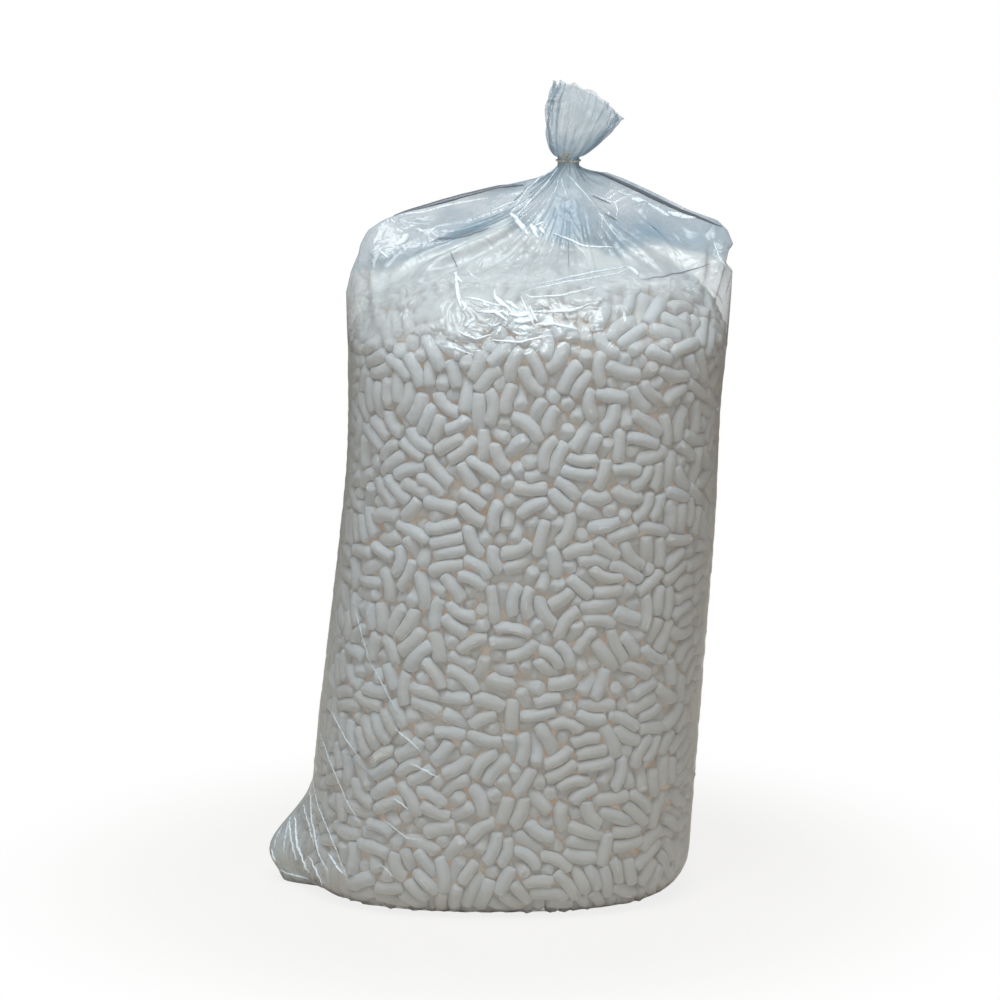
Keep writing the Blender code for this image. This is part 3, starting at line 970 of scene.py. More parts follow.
def film_marks():
    """Milkiness, sky share, bunching and crumpling of each point of the film."""
    height = film_grid[:, :, 2]
    milk = np.full(height.shape, BODY_MILK)
    sky = np.zeros(height.shape)
    bunch = np.full(height.shape, BODY_BUNCH)
    level = height * np.cos(CAMERA_ELEVATION) - np.abs(film_grid[:, :, 1]) * DEPTH_DROP
    body_rows = BASE_ROWS + len(body_film)
    low = slice(0, body_rows)
    milk[low] += SIDE_MILK * corner(angles[None, :], LEFT, SIDE_SPREAD)
    ear = 1 - smooth((height[low] - EAR_MARK_TOP) / EAR_MARK_FADE)
    ear = corner(angles[None, :], LEFT, EAR_MARK_SPREAD) * ear
    milk[low] += EAR_MILK * ear
    sky[low] += EAR_SKY * ear
    bunch[low] += EAR_BUNCH * ear
    slack_rows = slice(body_rows, body_rows + len(slack) - 1)
    on_heap = 1 - smooth((slack_lift[1:] - ON_HEAP) / HEAP_FADE)
    clear_up_to = np.interp(film_grid[slack_rows, :, 0], CLEAR_PLACES, CLEAR_LEVELS)
    rise = smooth((height[slack_rows] - clear_up_to) / CLEAR_FADE)
    near_neck = smooth((height[slack_rows] - NECK_MARK_FROM) / NECK_MARK_FADE)
    over_heap = HEAP_MILK[0] + (HEAP_MILK[1] - HEAP_MILK[0]) * rise
    free_film = GABLE_MILK + (NECK_MILK - GABLE_MILK) * near_neck
    horizon = np.interp(film_grid[slack_rows, :, 0], HORIZON_PLACES, HORIZON_LEVELS)
    ripple = waves(angles[None, :], 20 * height[slack_rows], fold_rng, 8, 3, 14, 1)
    horizon = horizon + HORIZON_RIPPLE * ripple
    before_heap = 1 - smooth((level[slack_rows] - horizon) / HORIZON_FADE + 0.5)
    covered = np.maximum(on_heap, before_heap)
    for (x, z), (wide, high), amount in PAINTED_SHADE_SPOTS:
        away = ((film_grid[slack_rows, :, 0] - x) / wide) ** 2
        away = away + ((height[slack_rows] - z) / high) ** 2
        free_film = free_film + amount * np.exp(-away)
    milk[slack_rows] = free_film + (over_heap - free_film) * covered
    sky[slack_rows] = (1 - covered) * (1 - NECK_SKY_LOSS * near_neck)
    bunch[slack_rows] = SLACK_BUNCH + NECK_BUNCH * near_neck
    tail_rows = slice(body_rows + len(slack) - 1, None)
    rim = np.linspace(0, 1, TAIL_ROWS)[:, None]
    milk[tail_rows] = NECK_MILK + (TAIL_MILK - NECK_MILK) * smooth(rim / 0.5)
    sky[tail_rows] = TAIL_SKY
    bunch[tail_rows] = TAIL_BUNCH - MOUTH_LOSS * rim
    crumple = np.full(height.shape, BODY_CRUMPLE)
    front = film_grid[:, :, 1] < 0
    for (x, z), (wide, high), amount in CRUMPLES:
        away = ((film_grid[:, :, 0] - x) / wide) ** 2 + ((height - z) / high) ** 2
        crumple += amount * front * np.exp(-away)
    crumple[slack_rows] += SLACK_CRUMPLE
    crumple[tail_rows] += TAIL_CRUMPLE
    return np.clip(milk, 0, MOST_MILK), sky, bunch, np.clip(crumple, 0, 1)


def flat_map(piece):
    """A UV map in metres: round the tube across, and along the tube up."""
    row_gap = np.linalg.norm(np.diff(film_grid, axis=0), axis=2).mean(axis=1)
    run = np.concatenate(((0,), np.cumsum(row_gap)))
    ring = body_film[GIRTH_ROW]
    girth = np.linalg.norm(np.roll(ring, -1, axis=0) - ring, axis=1).sum()
    row, column = np.mgrid[0 : film_rows - 1, 0:COLUMNS]
    across = np.stack((column, column + 1, column + 1, column), -1) * girth / COLUMNS
    along = np.stack((run[row], run[row], run[row + 1], run[row + 1]), -1)
    side = np.stack((across.ravel(), along.ravel()), -1)
    flat = np.concatenate((side, film_grid[0, cap, :2]))
    layer = piece.data.uv_layers.new(name="flat")
    layer.data.foreach_set("uv", flat.astype(np.float32).ravel())
    return girth, run[-1]


for label, values in zip(("milk", "sky", "bunch", "crumple"), film_marks()):
    add_values(film.data, label, values)
film_girth, film_run = flat_map(film)
print("film girth", round(film_girth, 3), "m, length", round(film_run, 3), "m")

# %% [markdown]
# ## Creases, with painted highlights and shade
#
# Where slack film is creased, it folds over on itself in a narrow, sharp pleat. Three layers
# lie on one another there, so the pleat is whiter than the film beside it. On top of that the
# pleats carry painted light: the bright ones a painted highlight that glows, and a few are
# painted dark as shade, as if turned away from the light. They are far too fine for the
# film's own grid. So each is a thin tapered strip of its own, laid on the film along a line
# that is read off in the camera's frame: the nearest points of the film under that line give
# its place in space.

# %% Crease lines
# How bright says how much painted light a strip carries: near 1 a painted highlight, near 0
# painted shade.
CREASES = (  # the line in thousandths of the frame, half the width in mm, and how bright
    (((398, 216), (424, 212), (444, 206), (475, 200), (488, 198)), 0.9, 0.9),
    (((394, 218), (408, 223), (426, 224)), 0.8, 0.7),
    (((395, 245), (400, 242), (408, 234)), 3.4, 0.8),
    (((380, 250), (389, 258)), 1.5, 0.9),
    (((417, 228), (423, 232)), 1.5, 0.9),
    (((488, 212), (501, 207), (517, 200)), 1.2, 0.7),
    (((511, 211), (524, 203), (530, 198)), 1.8, 0.9),
    (((512, 214), (520, 224), (528, 234)), 2.6, 0.9),
    (((530, 224), (534, 230), (538, 238)), 3.0, 1.0),
    (((535, 225), (544, 222)), 1.5, 1.0),
    (((540, 227), (545, 234)), 2.2, 1.0),
    (((509, 213), (518, 217)), 1.8, 0.9),
    (((557, 166), (541, 177), (528, 188), (514, 208)), 0.9, 0.8),
    (((558, 168), (546, 184), (532, 198), (517, 216)), 1.1, 0.8),
    (((559, 177), (556, 190), (546, 205)), 0.7, 0.75),
    (((561, 175), (563, 187), (568, 200)), 0.7, 0.75),
    (((566, 173), (576, 184), (586, 195), (595, 207)), 0.9, 0.8),
    (((598, 211), (612, 230), (622, 242)), 0.6, 0.75),
    (((553, 233), (569, 239), (584, 246), (613, 247)), 1.2, 1.0),
    (((613, 190), (633, 197), (647, 202)), 1.1, 0.7),
    (((632, 199), (645, 201)), 2.2, 0.9),
    (((648, 204), (659, 210), (670, 216)), 2.2, 0.9),
    (((668, 212), (682, 217), (697, 217)), 3.0, 0.9),
    (((590, 193), (610, 202), (615, 202), (618, 211), (616, 216)), 1.0, 0.8),
    (((592, 196), (602, 200), (611, 204)), 0.9, 0.15),
    (((604, 213), (610, 216), (617, 221)), 0.9, 0.15),
    (((394, 216), (430, 206), (466, 196), (500, 187), (524, 185)), 2.6, 0.05),
    (((582, 166), (607, 176), (638, 190), (681, 211), (721, 227)), 2.0, 0.05),
    (((437, 239), (463, 236), (489, 228)), 1.8, 0.15),
    (((450, 251), (457, 266)), 0.7, 0.2),
    (((641, 279), (676, 273), (711, 264)), 0.7, 0.2),
    (((714, 242), (719, 257), (727, 268)), 1.0, 0.8),
    (((531, 285), (586, 273), (633, 265)), 1.2, 0.8),
    (((524, 291), (562, 282), (593, 277), (617, 273), (634, 266)), 0.8, 0.9),
    (((628, 266), (634, 270), (639, 274)), 3.2, 0.9),
    (((522, 292), (531, 297), (562, 295), (598, 286)), 1.0, 1.0),
    (((533, 311), (555, 311), (574, 309), (589, 304)), 1.9, 0.9),
    (((538, 324), (554, 323), (578, 329)), 2.2, 0.9),
    (((491, 340), (519, 342), (536, 338), (548, 336)), 1.1, 1.0),
    (((457, 331), (476, 339), (492, 334)), 1.1, 0.9),
    (((440, 345), (455, 348), (474, 355)), 0.9, 0.8),
    (((453, 271), (458, 277), (462, 281)), 1.6, 0.9),
    (((456, 270), (457, 291), (461, 307)), 2.0, 0.9),
    (((467, 268), (472, 274), (477, 280)), 1.4, 0.8),
    (((464, 297), (478, 299), (502, 306)), 1.4, 1.0),
    (((495, 289), (494, 295), (506, 305), (512, 312)), 2.8, 1.0),
    (((476, 311), (495, 311), (508, 321)), 1.8, 1.0),
    (((464, 326), (470, 321), (475, 318)), 2.6, 0.8),
    (((497, 332), (502, 326)), 2.0, 0.9),
    (((509, 313), (518, 315), (528, 313)), 3.4, 1.0),
    (((513, 320), (521, 321), (531, 320)), 3.4, 1.0),
    (((518, 327), (525, 327), (533, 328)), 3.0, 1.0),
    (((505, 300), (512, 304), (519, 309)), 2.6, 1.0),
    (((497, 312), (503, 310), (509, 316)), 1.6, 1.0),
    (((485, 322), (493, 326), (501, 322)), 1.2, 0.8),
    (((461, 300), (466, 306), (463, 311)), 2.4, 1.0),
    (((530, 305), (534, 316), (538, 322)), 1.2, 0.9),
    (((512, 331), (520, 334), (529, 333)), 1.4, 0.9),
    (((521, 296), (527, 310), (535, 327)), 1.1, 0.9),
    (((482, 303), (490, 305)), 2.0, 0.9),
    (((294, 816), (294, 840), (299, 861), (307, 875)), 1.8, 1.0),
    (((306, 857), (314, 870), (322, 885)), 1.5, 0.9),
    (((281, 825), (276, 838), (272, 852)), 1.2, 0.7),
    (((287, 822), (283, 840), (280, 857)), 1.2, 0.7),
    (((270, 849), (270, 857), (271, 865)), 1.6, 0.9),
    (((298, 811), (301, 816), (303, 821)), 0.9, 0.3),
    (((288, 815), (289, 838), (293, 862)), 1.5, 0.8),
    (((301, 802), (306, 822), (313, 846)), 1.1, 0.75),
    (((278, 871), (290, 876), (306, 880)), 1.4, 0.85),
    (((365, 655), (385, 690), (400, 720)), 0.7, 0.6),
    (((352, 600), (362, 640), (370, 665)), 0.7, 0.6),
    (((308, 784), (310, 819), (317, 853), (327, 874)), 1.5, 0.8),
    (((311, 777), (317, 807), (333, 845), (350, 889)), 0.8, 0.7),
    (((327, 853), (334, 864), (342, 876)), 1.4, 0.85),
    (((327, 706), (344, 738), (359, 759)), 0.7, 0.65),
    (((344, 752), (358, 765), (375, 782)), 0.6, 0.25),
    (((392, 798), (400, 803), (409, 811)), 0.8, 0.75),
    (((394, 729), (408, 740), (421, 752)), 1.0, 0.7),
    (((409, 763), (424, 770), (438, 778)), 0.9, 0.75),
    (((382, 819), (405, 837), (417, 840)), 0.6, 0.7),
    (((379, 863), (386, 870), (394, 878)), 0.7, 0.7),
    (((318, 730), (328, 760), (345, 800), (362, 828)), 0.6, 0.65),
)
CREASE_STEP = 2.0  # between a strip's stations, in thousandths of the frame
CREASE_SIDES = 6
CREASE_HIGH = 0.0007
CREASE_JAG = 0.60  # how far a bright pleat's two edges wander, as a share of its width
CREASE_FACET = 3  # stations between the corners of those edges
BACK_CREASES = 18
CREASE_LIFT = 0.0009
NEAREST = 10


def stations_along(line):
    """Points spaced evenly along a bent line."""
    line = np.array(line, float)
    length = np.concatenate(((0,), np.cumsum(np.linalg.norm(np.diff(line, axis=0), axis=1))))
    even = np.linspace(0, length[-1], max(int(length[-1] / CREASE_STEP), 4) + 1)
    return np.stack([np.interp(even, length, line[:, axis]) for axis in (0, 1)], -1)


def along_front(grid, normals):
    """Middle, way out, half width and brightness of each strip drawn in the camera's frame.

    Each station takes the mean of the nearest points of the film that face the camera,
    weighted by nearness in the frame, and those behind the foremost count for less.
    """
    facing = normals.reshape(-1, 3) @ back_off > 0.08
    places, normals = grid.reshape(-1, 3)[facing], normals.reshape(-1, 3)[facing]
    shown, depth = in_frame(places)
    for line, half_width, painted_shine in CREASES:
        stations = stations_along(line)
        apart = ((stations[:, None] - shown) ** 2).sum(axis=2)
        near = np.argpartition(apart, NEAREST, axis=1)[:, :NEAREST]
        behind = depth[near] - depth[near].min(axis=1, keepdims=True)
        weight = np.exp(-behind / 0.003) / (np.take_along_axis(apart, near, 1) + 1)
        weight = (weight / weight.sum(axis=1, keepdims=True))[:, :, None]
        yield (places[near] * weight).sum(axis=1), (normals[near] * weight).sum(axis=1), \
            half_width, painted_shine


def along_back(grid, normals):
    """The same for strips on the back, each a random straight line on the film's own grid."""
    first = BASE_ROWS + len(body_film)
    for _ in range(BACK_CREASES):
        row = first + (SLACK_ROWS - 4) * fold_rng.uniform(0.02, 0.80)
        column = COLUMNS / 2 * fold_rng.uniform(0.06, 0.94)
        run, drift = fold_rng.normal(0, 8), fold_rng.normal(0, 10)
        share = np.linspace(0, 1, 14)
        rows = np.clip(row + run * share, first, first + SLACK_ROWS - 4)
        columns = column + drift * share
        low_row, low_column = rows.astype(int), columns.astype(int)
        up, on = (rows - low_row)[:, None], (columns - low_column)[:, None]
        after = (low_column + 1) % COLUMNS
        low_column = low_column % COLUMNS
        middle, out = (
            (1 - up) * ((1 - on) * values[low_row, low_column] + on * values[low_row, after])
            + up * ((1 - on) * values[low_row + 1, low_column] + on * values[low_row + 1, after])
            for values in (grid, normals)
        )
        yield middle, out, fold_rng.uniform(0.5, 1.4), fold_rng.uniform(0.5, 0.75)


def crease_strips(grid):
    """Every strip: a flat oval carried along its line on the film, tapered at both ends."""
    normals = grid_normals(grid)
    around = 2 * np.pi * np.arange(CREASE_SIDES) / CREASE_SIDES
    rightward = np.cos(around) > 0
    everything, corners, starts, bright = [], [], [], []
    strips = (*along_front(grid, normals), *along_back(grid, normals))
    for middle, out, half_width, painted_shine in strips:
        relax(middle)
        relax(out)
        out /= np.linalg.norm(out, axis=1, keepdims=True)
        side = np.cross(np.gradient(middle, axis=0), out)
        side /= np.linalg.norm(side, axis=1, keepdims=True) + 1e-9
        taper = np.sin(np.pi * np.linspace(0.03, 0.97, len(middle))) ** 0.6
        jag = CREASE_JAG * smooth((painted_shine - 0.3) / 0.4) * smooth((half_width - 1.0) / 1.2)
        station = np.arange(len(middle))
        knots = np.arange(0, len(middle) + CREASE_FACET, CREASE_FACET)
        wander = fold_rng.uniform(-1, 1, (2, len(knots)))
        edges = 1 + jag * np.stack([np.interp(station, knots, values) for values in wander], -1)
        edge = np.where(rightward, edges[:, :1], edges[:, 1:])
        across = edge * taper[:, None] * half_width / 1000 * np.cos(around)
        high = CREASE_LIFT + taper[:, None] * CREASE_HIGH * np.sin(around)
        rings = middle[:, None] + across[..., None] * side[:, None]
        rings = rings + high[..., None] * out[:, None]
        own_corners, own_starts = capped_tube(len(middle), CREASE_SIDES)
        starts.append(own_starts + sum(len(part) for part in corners))
        corners.append(own_corners + sum(len(part) for part in everything))
        everything.append(rings.reshape(-1, 3))
        bright.append(np.full(rings[..., 0].size, painted_shine))
    return mesh_piece("film_creases", np.concatenate(everything), np.concatenate(corners),
                      np.concatenate(starts), bright=np.concatenate(bright))


creases = crease_strips(film_grid)
print("creases", len(CREASES) + BACK_CREASES, "faces", len(creases.data.polygons))

# %% [markdown]
# ## Behind the peanuts
#
# Light that gets between the outer peanuts bounces on among the next ones and comes back
# warm. The gaps in the photograph are a soft peach brown, never black. A closed inner form
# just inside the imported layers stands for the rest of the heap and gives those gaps
# something to show.

# %% Inner heap
INNER_DEPTH = 0.034
INNER_COLUMNS = 96
INNER_ROWS = 40


def inner_heap():
    """The heap's own outline drawn inwards, from a flat foot to its crown."""
    share = np.linspace(0, 1, INNER_ROWS)[:, None]
    top = HEAP_TOP - INNER_DEPTH
    height = INNER_DEPTH + (top - INNER_DEPTH) * np.sin(np.pi / 2 * share) ** 0.9
    angle = np.linspace(0, 2 * np.pi, INNER_COLUMNS, endpoint=False)[None, :]
    whole = np.ones(2)
    centre, width, depth, _ = outline(height, np.arange(2), whole, whole)
    crown = np.interp(height + INNER_DEPTH, CROWN_HEIGHTS[::-1], CROWN_SHARES[::-1])
    width = np.maximum(width * crown - INNER_DEPTH, 0.002)
    depth = np.maximum(depth * crown - INNER_DEPTH, 0.002)
    across, back = oval(angle, SQUARENESS)
    grid = np.stack(
        np.broadcast_arrays(centre + across * width, back * depth, height + 0 * angle), -1
    )
    return mesh_piece("inner_heap", grid.reshape(-1, 3), *capped_tube(INNER_ROWS, INNER_COLUMNS))


inner = inner_heap()
print("inner heap faces", len(inner.data.polygons))

# %% [markdown]
# ## Writing finishes as sums
#
# A finish is a network of nodes, and most of them only add, multiply or compare. Wiring
# those by hand hides what they say. The small class below wraps a socket, so that an
# expression such as 1 - mask adds the right Math node by itself. Every other node comes
# from one method, which sets its settings first and then its sockets.

# %% Socket values and finishes
class Value:
    """A node's output. Arithmetic on it adds Math nodes."""

    def __init__(self, finish, socket):
        self.finish = finish
        self.socket = socket

    def math(self, operation, *inputs):
        values = dict(enumerate(inputs))
        return self.finish.node("ShaderNodeMath", {"operation": operation}, values)

    def __add__(self, other):
        return self.math("ADD", self, other)

    def __radd__(self, other):
        return self.math("ADD", other, self)

    def __sub__(self, other):
        return self.math("SUBTRACT", self, other)

    def __rsub__(self, other):
        return self.math("SUBTRACT", other, self)

    def __mul__(self, other):
        return self.math("MULTIPLY", self, other)

    def __rmul__(self, other):
        return self.math("MULTIPLY", other, self)

    def __pow__(self, other):
        return self.math("POWER", self, other)

    def ease(self, low, high):
        """Eases from 0 at low to 1 at high."""
        settings = {"interpolation_type": "SMOOTHSTEP"}
        values = {"Value": self, "From Min": low, "From Max": high}
        return self.finish.node("ShaderNodeMapRange", settings, values)

    def at_most(self, limit):
        return self.math("MINIMUM", self, limit)


class Finish:
    """A material and the one method that adds its nodes."""

    def __init__(self, name):
        self.material = bpy.data.materials.new(name)
        self.material.use_nodes = True
        self.nodes = self.material.node_tree.nodes
        self.links = self.material.node_tree.links
        self.nodes.clear()

    def node(self, kind, settings=None, values=None, output=0):
        """A node of this type: its settings first, then its sockets' values or links."""
        node = self.nodes.new(kind)
        for name, setting in (settings or {}).items():
            setattr(node, name, setting)
        for name, value in (values or {}).items():
            socket = node.inputs[name]
            if isinstance(value, Value):
                self.links.new(value.socket, socket)
            else:
                socket.default_value = value
        return Value(self, node.outputs[output])

    def attribute(self, name):
        return self.node("ShaderNodeAttribute", {"attribute_name": name}, output="Fac")

    def place(self):
        """Object coordinates, in metres."""
        return self.node("ShaderNodeTexCoord", output="Object")

    def noise(self, place, scale, detail=2.0, rough=0.5, twist=0.0):
        values = {
            "Vector": place,
            "Scale": scale,
            "Detail": detail,
            "Roughness": rough,
            "Distortion": twist,
        }
        return self.node("ShaderNodeTexNoise", values=values)

    def stretched(self, place, stretch):
        """The place multiplied, axis by axis, so that a pattern is drawn out one way."""
        settings = {"operation": "MULTIPLY"}
        return self.node("ShaderNodeVectorMath", settings, {0: place, 1: stretch})

    def blend(self, share, first, second):
        """One colour into another."""
        values = {0: share, 6: first, 7: second}
        return self.node("ShaderNodeMix", {"data_type": "RGBA"}, values, output=2)

    def bump(self, height, distance, strength=1.0):
        values = {"Height": height, "Distance": distance, "Strength": strength}
        return self.node("ShaderNodeBump", values=values)

    def mix_shader(self, share, first, second):
        return self.node("ShaderNodeMixShader", values={0: share, 1: first, 2: second})

    def done(self, shader):
        output = self.nodes.new("ShaderNodeOutputMaterial")
        self.links.new(shader.socket, output.inputs["Surface"])
        return self.material


print("finish helpers ready")

# %% [markdown]
# ## Foam
#
# Expanded foam is white with a matt skin, full of fine pores and slow dents. Under the
# cool lamps the outer peanuts look faintly blue. A peanut deeper in the heap is lit only by
# light that has bounced off others, which has grown warmer each time. That warmth is painted
# on: the depth that each point carries moves its colour from white to peach between the
# first layer and the third, and gives it a faint painted glow of the same peach.

# %% Foam finish
FOAM_WHITE = (0.86, 0.876, 0.91, 1)
FOAM_SHADE = (0.83, 0.81, 0.80, 1)
FOAM_PAINTED_BOUNCE = (0.86, 0.775, 0.68, 1)

BLACK = (0, 0, 0, 1)
FOAM_PAINTED_GLOW = 0.125  # light that has come through the outer foam


def foam_finish():
    foam = Finish("foam")
    place = foam.place()
    depth = foam.attribute("depth")
    tone = foam.attribute("tone")
    pores = foam.noise(place, 900, detail=3, rough=0.6)
    dents = foam.noise(place, 140, detail=2)
    shade = foam.blend((tone * 0.65 + dents * 0.5).at_most(1.0), FOAM_WHITE, FOAM_SHADE)
    # painted bounce light: the deeper a point, the more it is painted peach and the more it
    # glows in that peach
    deep = depth.ease(0.005, 0.024)
    colour = foam.blend(deep, shade, FOAM_PAINTED_BOUNCE)
    painted_glow = foam.blend(deep, BLACK, FOAM_PAINTED_BOUNCE)
    relief = foam.bump(pores * 0.25 + dents, 0.0012, 0.6)
    values = {
        "Base Color": colour,
        "Roughness": 0.62 + 0.2 * pores,
        "Emission Color": painted_glow,
        "Emission Strength": FOAM_PAINTED_GLOW,
        "Normal": relief,
    }
    return foam.done(foam.node("ShaderNodeBsdfPrincipled", values=values))


foam_material = foam_finish()
for piece in peanut_pieces:
    piece.data.materials.append(foam_material)


# %% Inner heap finish
# The inner heap's peach colours are painted warm bounce light, and it glows faintly in them as
# painted light too.
INNER_LIGHT = (0.84, 0.725, 0.61, 1)
INNER_DARK = (0.74, 0.60, 0.48, 1)


def inner_finish():
    inside = Finish("foam_shade")
    place = inside.place()
    blotches = inside.noise(place, 45, detail=3, rough=0.6)
    colour = inside.blend(blotches.ease(0.35, 0.65), INNER_DARK, INNER_LIGHT)
    relief = inside.bump(blotches, 0.02, 1.0)
    values = {
        "Base Color": colour,
        "Roughness": 0.9,
        "Emission Color": colour,
        "Emission Strength": FOAM_PAINTED_GLOW,
        "Normal": relief,
    }
    return inside.done(inside.node("ShaderNodeBsdfPrincipled", values=values))


inner.data.materials.append(inner_finish())

# %% [markdown]
# ## Film
#
# A film this thin doesn't bend light, so it needs no glass: light goes straight through, a
# little tinted, and some of it is mirrored, more at a glancing angle. That is a mix of
# Transparent and Glossy by Schlick's rule, a share at a right angle plus the rest times
# the fifth power of the facing. Over that lies the milky part, which is lit from both
# sides, mixed in by the milkiness that the mesh carries, times streaks along the folds.

# %% Film finish
FILM_TINT = (0.946, 0.962, 0.972, 1)
HAZE_SKY = (0.44, 0.62, 0.76, 1)
HAZE_WHITE = (0.89, 0.925, 0.93, 1)
MIRROR_SHARE = 0.07
FIBRES = (300, 7, 1)  # how often the fine pleats come in a metre, round the bag and along it
FOLDS = (42, 9, 1)  # and the wide ones


def film_finish():
    clear = Finish("clear_film_finish")
    flat = clear.node("ShaderNodeUVMap", {"uv_map": "flat"})
    milk = clear.attribute("milk")
    sky = clear.attribute("sky")
    bunch = clear.attribute("bunch")
    fibres = clear.noise(clear.stretched(flat, FIBRES), 1.0, detail=4, rough=0.6, twist=0.5)
    folds = clear.noise(clear.stretched(flat, FOLDS), 1.0, detail=2, rough=0.5, twist=0.6)
    crumple = clear.attribute("crumple")
    lumps = clear.noise(clear.place(), 26, detail=3, rough=0.55, twist=0.9)
    creases = (lumps * 2 - 1).math("ABSOLUTE", lumps * 2 - 1)
    clouds = clear.noise(clear.place(), 22, detail=3, rough=0.55, twist=0.4)
    streaks = folds.ease(0.35, 0.65) * bunch * 0.6 + fibres.ease(0.40, 0.70) * bunch
    haze = (milk * (0.60 + streaks + clouds.ease(0.35, 0.65) * 0.5)).at_most(0.95)
    height = folds * 0.2 + fibres * bunch * 0.3 + creases * crumple * 2.2
    relief = clear.bump(height, 0.010, 0.7)
    facing = clear.node("ShaderNodeLayerWeight", values={"Blend": 0.5}, output="Facing")
    mirror = MIRROR_SHARE + (1 - MIRROR_SHARE) * facing**5
    through = clear.node("ShaderNodeBsdfTransparent", values={"Color": FILM_TINT})
    gloss_values = {"Color": (1, 1, 1, 1), "Roughness": 0.16, "Normal": relief}
    gloss = clear.node("ShaderNodeBsdfGlossy", values=gloss_values)
    # painted reflection: where sky is high the haze takes a cool grey-blue that stands for dim
    # surroundings mirrored in the film
    bright = clear.blend(sky, HAZE_WHITE, HAZE_SKY)
    colour = clear.blend(fibres.ease(0.52, 0.75) * bunch * 0.6, bright, HAZE_WHITE)
    haze_values = {"Base Color": colour, "Roughness": 0.22, "Normal": relief}
    lit_front = clear.node("ShaderNodeBsdfPrincipled", values=haze_values)
    lit_back = clear.node("ShaderNodeBsdfTranslucent", values={"Color": colour})
    milky = clear.mix_shader(0.12 + 0.38 * sky, lit_front, lit_back)
    thin = clear.mix_shader(mirror, through, gloss)
    return clear.done(clear.mix_shader(haze, thin, milky))


film.data.materials.append(film_finish())


# %% Crease finish
CREASE_PAINTED_SHADE = (0.17, 0.19, 0.23, 1)
CREASE_WHITE = (0.88, 0.94, 0.985, 1)
# The brightest pleats glow as a painted highlight, and the darkest are painted shade.
CREASE_PAINTED_GLINT = 0.28  # light that a pleat's many edges throw out again
FAINTEST_CREASE = 0.45  # the brightness at which a pleat is hardest to see


def crease_finish():
    """A pleat painted white with a glowing painted highlight, or painted dark as shade,
    see-through in patches.
    """
    pleat = Finish("creased_film")
    bright = pleat.attribute("bright")
    patches = pleat.noise(pleat.place(), 190, detail=3, rough=0.6)
    colour = pleat.blend(bright.ease(0.0, 0.5), CREASE_PAINTED_SHADE, CREASE_WHITE)
    painted_shine = pleat.blend(bright.ease(0.45, 1.0), BLACK, CREASE_WHITE)
    from_faint = (bright - FAINTEST_CREASE).math("ABSOLUTE", bright - FAINTEST_CREASE)
    gaps = bright.ease(0.2, 0.5) * (0.6 - 0.6 * patches.ease(0.36, 0.56))
    share = (1 - gaps) * (0.45 + from_faint).at_most(1.0)
    values = {
        "Base Color": colour,
        "Roughness": 0.2,
        "Emission Color": painted_shine,
        "Emission Strength": CREASE_PAINTED_GLINT,
    }
    solid = pleat.node("ShaderNodeBsdfPrincipled", values=values)
    through = pleat.node("ShaderNodeBsdfTransparent", values={"Color": FILM_TINT})
    return pleat.done(pleat.mix_shader(share, through, solid))


creases.data.materials.append(crease_finish())

# %% [markdown]
# ## Tie
#
# The tie is a thin coated wire. Its CAD shape is right already, so it stays, and only gets
# a finish: a beige coat, a little worn and dirty, with a soft sheen.

# %% Tie finish
TIE_BEIGE = (0.52, 0.46, 0.36, 1)
TIE_WORN = (0.30, 0.27, 0.23, 1)


def tie_finish():
    coat = Finish("tie_coat")
    place = coat.place()
    wear = coat.noise(place, 260, detail=4, rough=0.65)
    colour = coat.blend(wear.ease(0.45, 0.70), TIE_BEIGE, TIE_WORN)
    relief = coat.bump(wear, 0.0006, 0.5)
    values = {"Base Color": colour, "Roughness": 0.38 + 0.2 * wear, "Normal": relief}
    return coat.done(coat.node("ShaderNodeBsdfPrincipled", values=values))


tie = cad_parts["neck_tie"]
tie_material = tie_finish()
for slot in tie.material_slots:
    slot.material = tie_material
print("tie slots", len(tie.material_slots))

# %% [markdown]
# ## Floor, backdrop and light
#
# The photograph is a studio cut-out on white. The floor is pale near the bag, so that it
# keeps the soft shadow under it, and turns to plain white further out, where it meets a
# white world. The world is white only for the eye: what it sheds on the object and what is
# mirrored in it are dim and warm. The main lamp is large and stands above and in front, so
# that light falls off towards the base, as in the picture. A smaller one, the window, and
# two slim boxes at the sides give the crumpled film its bright highlights. A weak warm fill
# lights the base, and a lamp behind shines through the slack film.

# %% Floor
FLOOR_SIZE = 12.0
FLOOR_PALE = (0.80, 0.73, 0.64, 1)
FLOOR_LIFT = 0.82  # the share of plain white in the floor right beside the bag


def floor_piece():
    half = FLOOR_SIZE / 2
    square = np.array(((-half, -half, 0), (half, -half, 0), (half, half, 0), (-half, half, 0)))
    return mesh_piece("floor", square, np.arange(4), np.array((0,)))


def floor_finish():
    """Plain white to the camera far out, and mixed with a pale matt floor near the bag."""
    ground = Finish("floor_finish")
    away = ground.node("ShaderNodeVectorMath", {"operation": "LENGTH"},
                       {0: ground.place()}, output="Value")
    seen = ground.node("ShaderNodeLightPath", output="Is Camera Ray")
    pale_values = {"Base Color": FLOOR_PALE, "Roughness": 0.8}
    pale = ground.node("ShaderNodeBsdfPrincipled", values=pale_values)
    white = ground.node("ShaderNodeEmission", values={"Strength": 1.0})
    share = FLOOR_LIFT + (1 - FLOOR_LIFT) * away.ease(0.28, 0.62)
    return ground.done(ground.mix_shader(share * seen, pale, white))


floor = floor_piece()
floor.data.materials.append(floor_finish())


# %% World and lamps
WORLD_SHED = 0.15
WORLD_TONE = (1.0, 0.95, 0.89, 1)


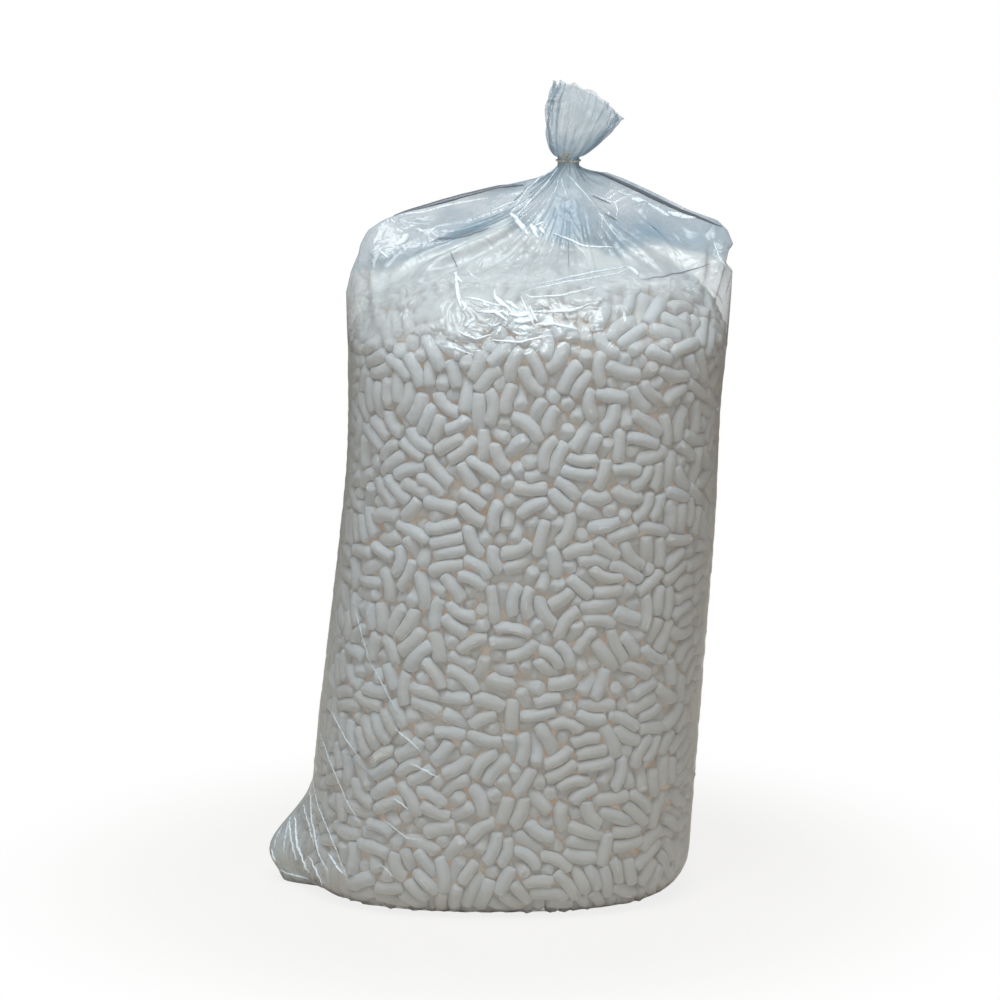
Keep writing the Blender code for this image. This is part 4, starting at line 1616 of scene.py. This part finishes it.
def light_world():
    """White for the camera, and dim and warm for every other ray."""
    world = bpy.data.worlds.new("studio")
    world.use_nodes = True
    bpy.context.scene.world = world
    nodes, links = world.node_tree.nodes, world.node_tree.links
    nodes.clear()
    path = nodes.new("ShaderNodeLightPath")
    shed = nodes.new("ShaderNodeBackground")
    shed.inputs["Color"].default_value = WORLD_TONE
    shed.inputs["Strength"].default_value = WORLD_SHED
    white = nodes.new("ShaderNodeBackground")
    white.inputs["Strength"].default_value = 1.0
    white.inputs["Color"].default_value = (1, 1, 1, 1)
    mix = nodes.new("ShaderNodeMixShader")
    output = nodes.new("ShaderNodeOutputWorld")
    links.new(path.outputs["Is Camera Ray"], mix.inputs[0])
    links.new(shed.outputs[0], mix.inputs[1])
    links.new(white.outputs[0], mix.inputs[2])
    links.new(mix.outputs[0], output.inputs["Surface"])


def lamp(name, place, aim, size, power, tone):
    """A rectangular area lamp at a place, turned to face its aim."""
    data = bpy.data.lights.new(name, "AREA")
    data.shape = "RECTANGLE"
    data.size, data.size_y = size
    data.energy = power
    data.color = tone
    body = bpy.data.objects.new(name, data)
    bpy.context.scene.collection.objects.link(body)
    body.location = place
    toward = Vector(aim) - Vector(place)
    body.rotation_euler = toward.to_track_quat("-Z", "Y").to_euler()


light_world()
lamp("sky", (-0.10, -0.85, 2.02), (0, -0.05, 0.5), (1.2, 0.9), 20.6, (0.88, 0.97, 1.0))
lamp("window", (-0.20, -1.15, 1.50), (0, 0, 0.60), (0.70, 0.40), 1.7, (0.92, 0.98, 1.0))
lamp("fill", (0.6, -2.8, 0.5), (0, 0, 0.30), (2.2, 1.4), 0.85, (1.0, 0.89, 0.78))
lamp("left_box", (-1.3, -0.6, 1.1), (0, 0, 0.6), (0.25, 0.9), 1.4, (1.0, 1.0, 1.0))
lamp("right_box", (1.25, -0.9, 1.3), (0.05, 0, 0.65), (0.25, 0.9), 1.5, (1.0, 0.86, 0.72))
lamp("back_box", (0.2, 1.5, 1.7), (0.05, 0, 0.6), (1.2, 0.8), 9, (0.95, 0.98, 1.0))
bpy.context.scene.view_settings.view_transform = "Standard"
print("lamps placed")

# %% [markdown]
# ## Saying what each piece is
#
# Each new piece rides on the root, and the imported solid that it stands for is hidden.

# %% Declarations
for piece in (film, creases, inner, *peanut_pieces):
    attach(piece, "root")
for piece in (film, creases):
    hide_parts("film_bag")
for piece in (inner, *peanut_pieces):
    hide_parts("peanut_fill")
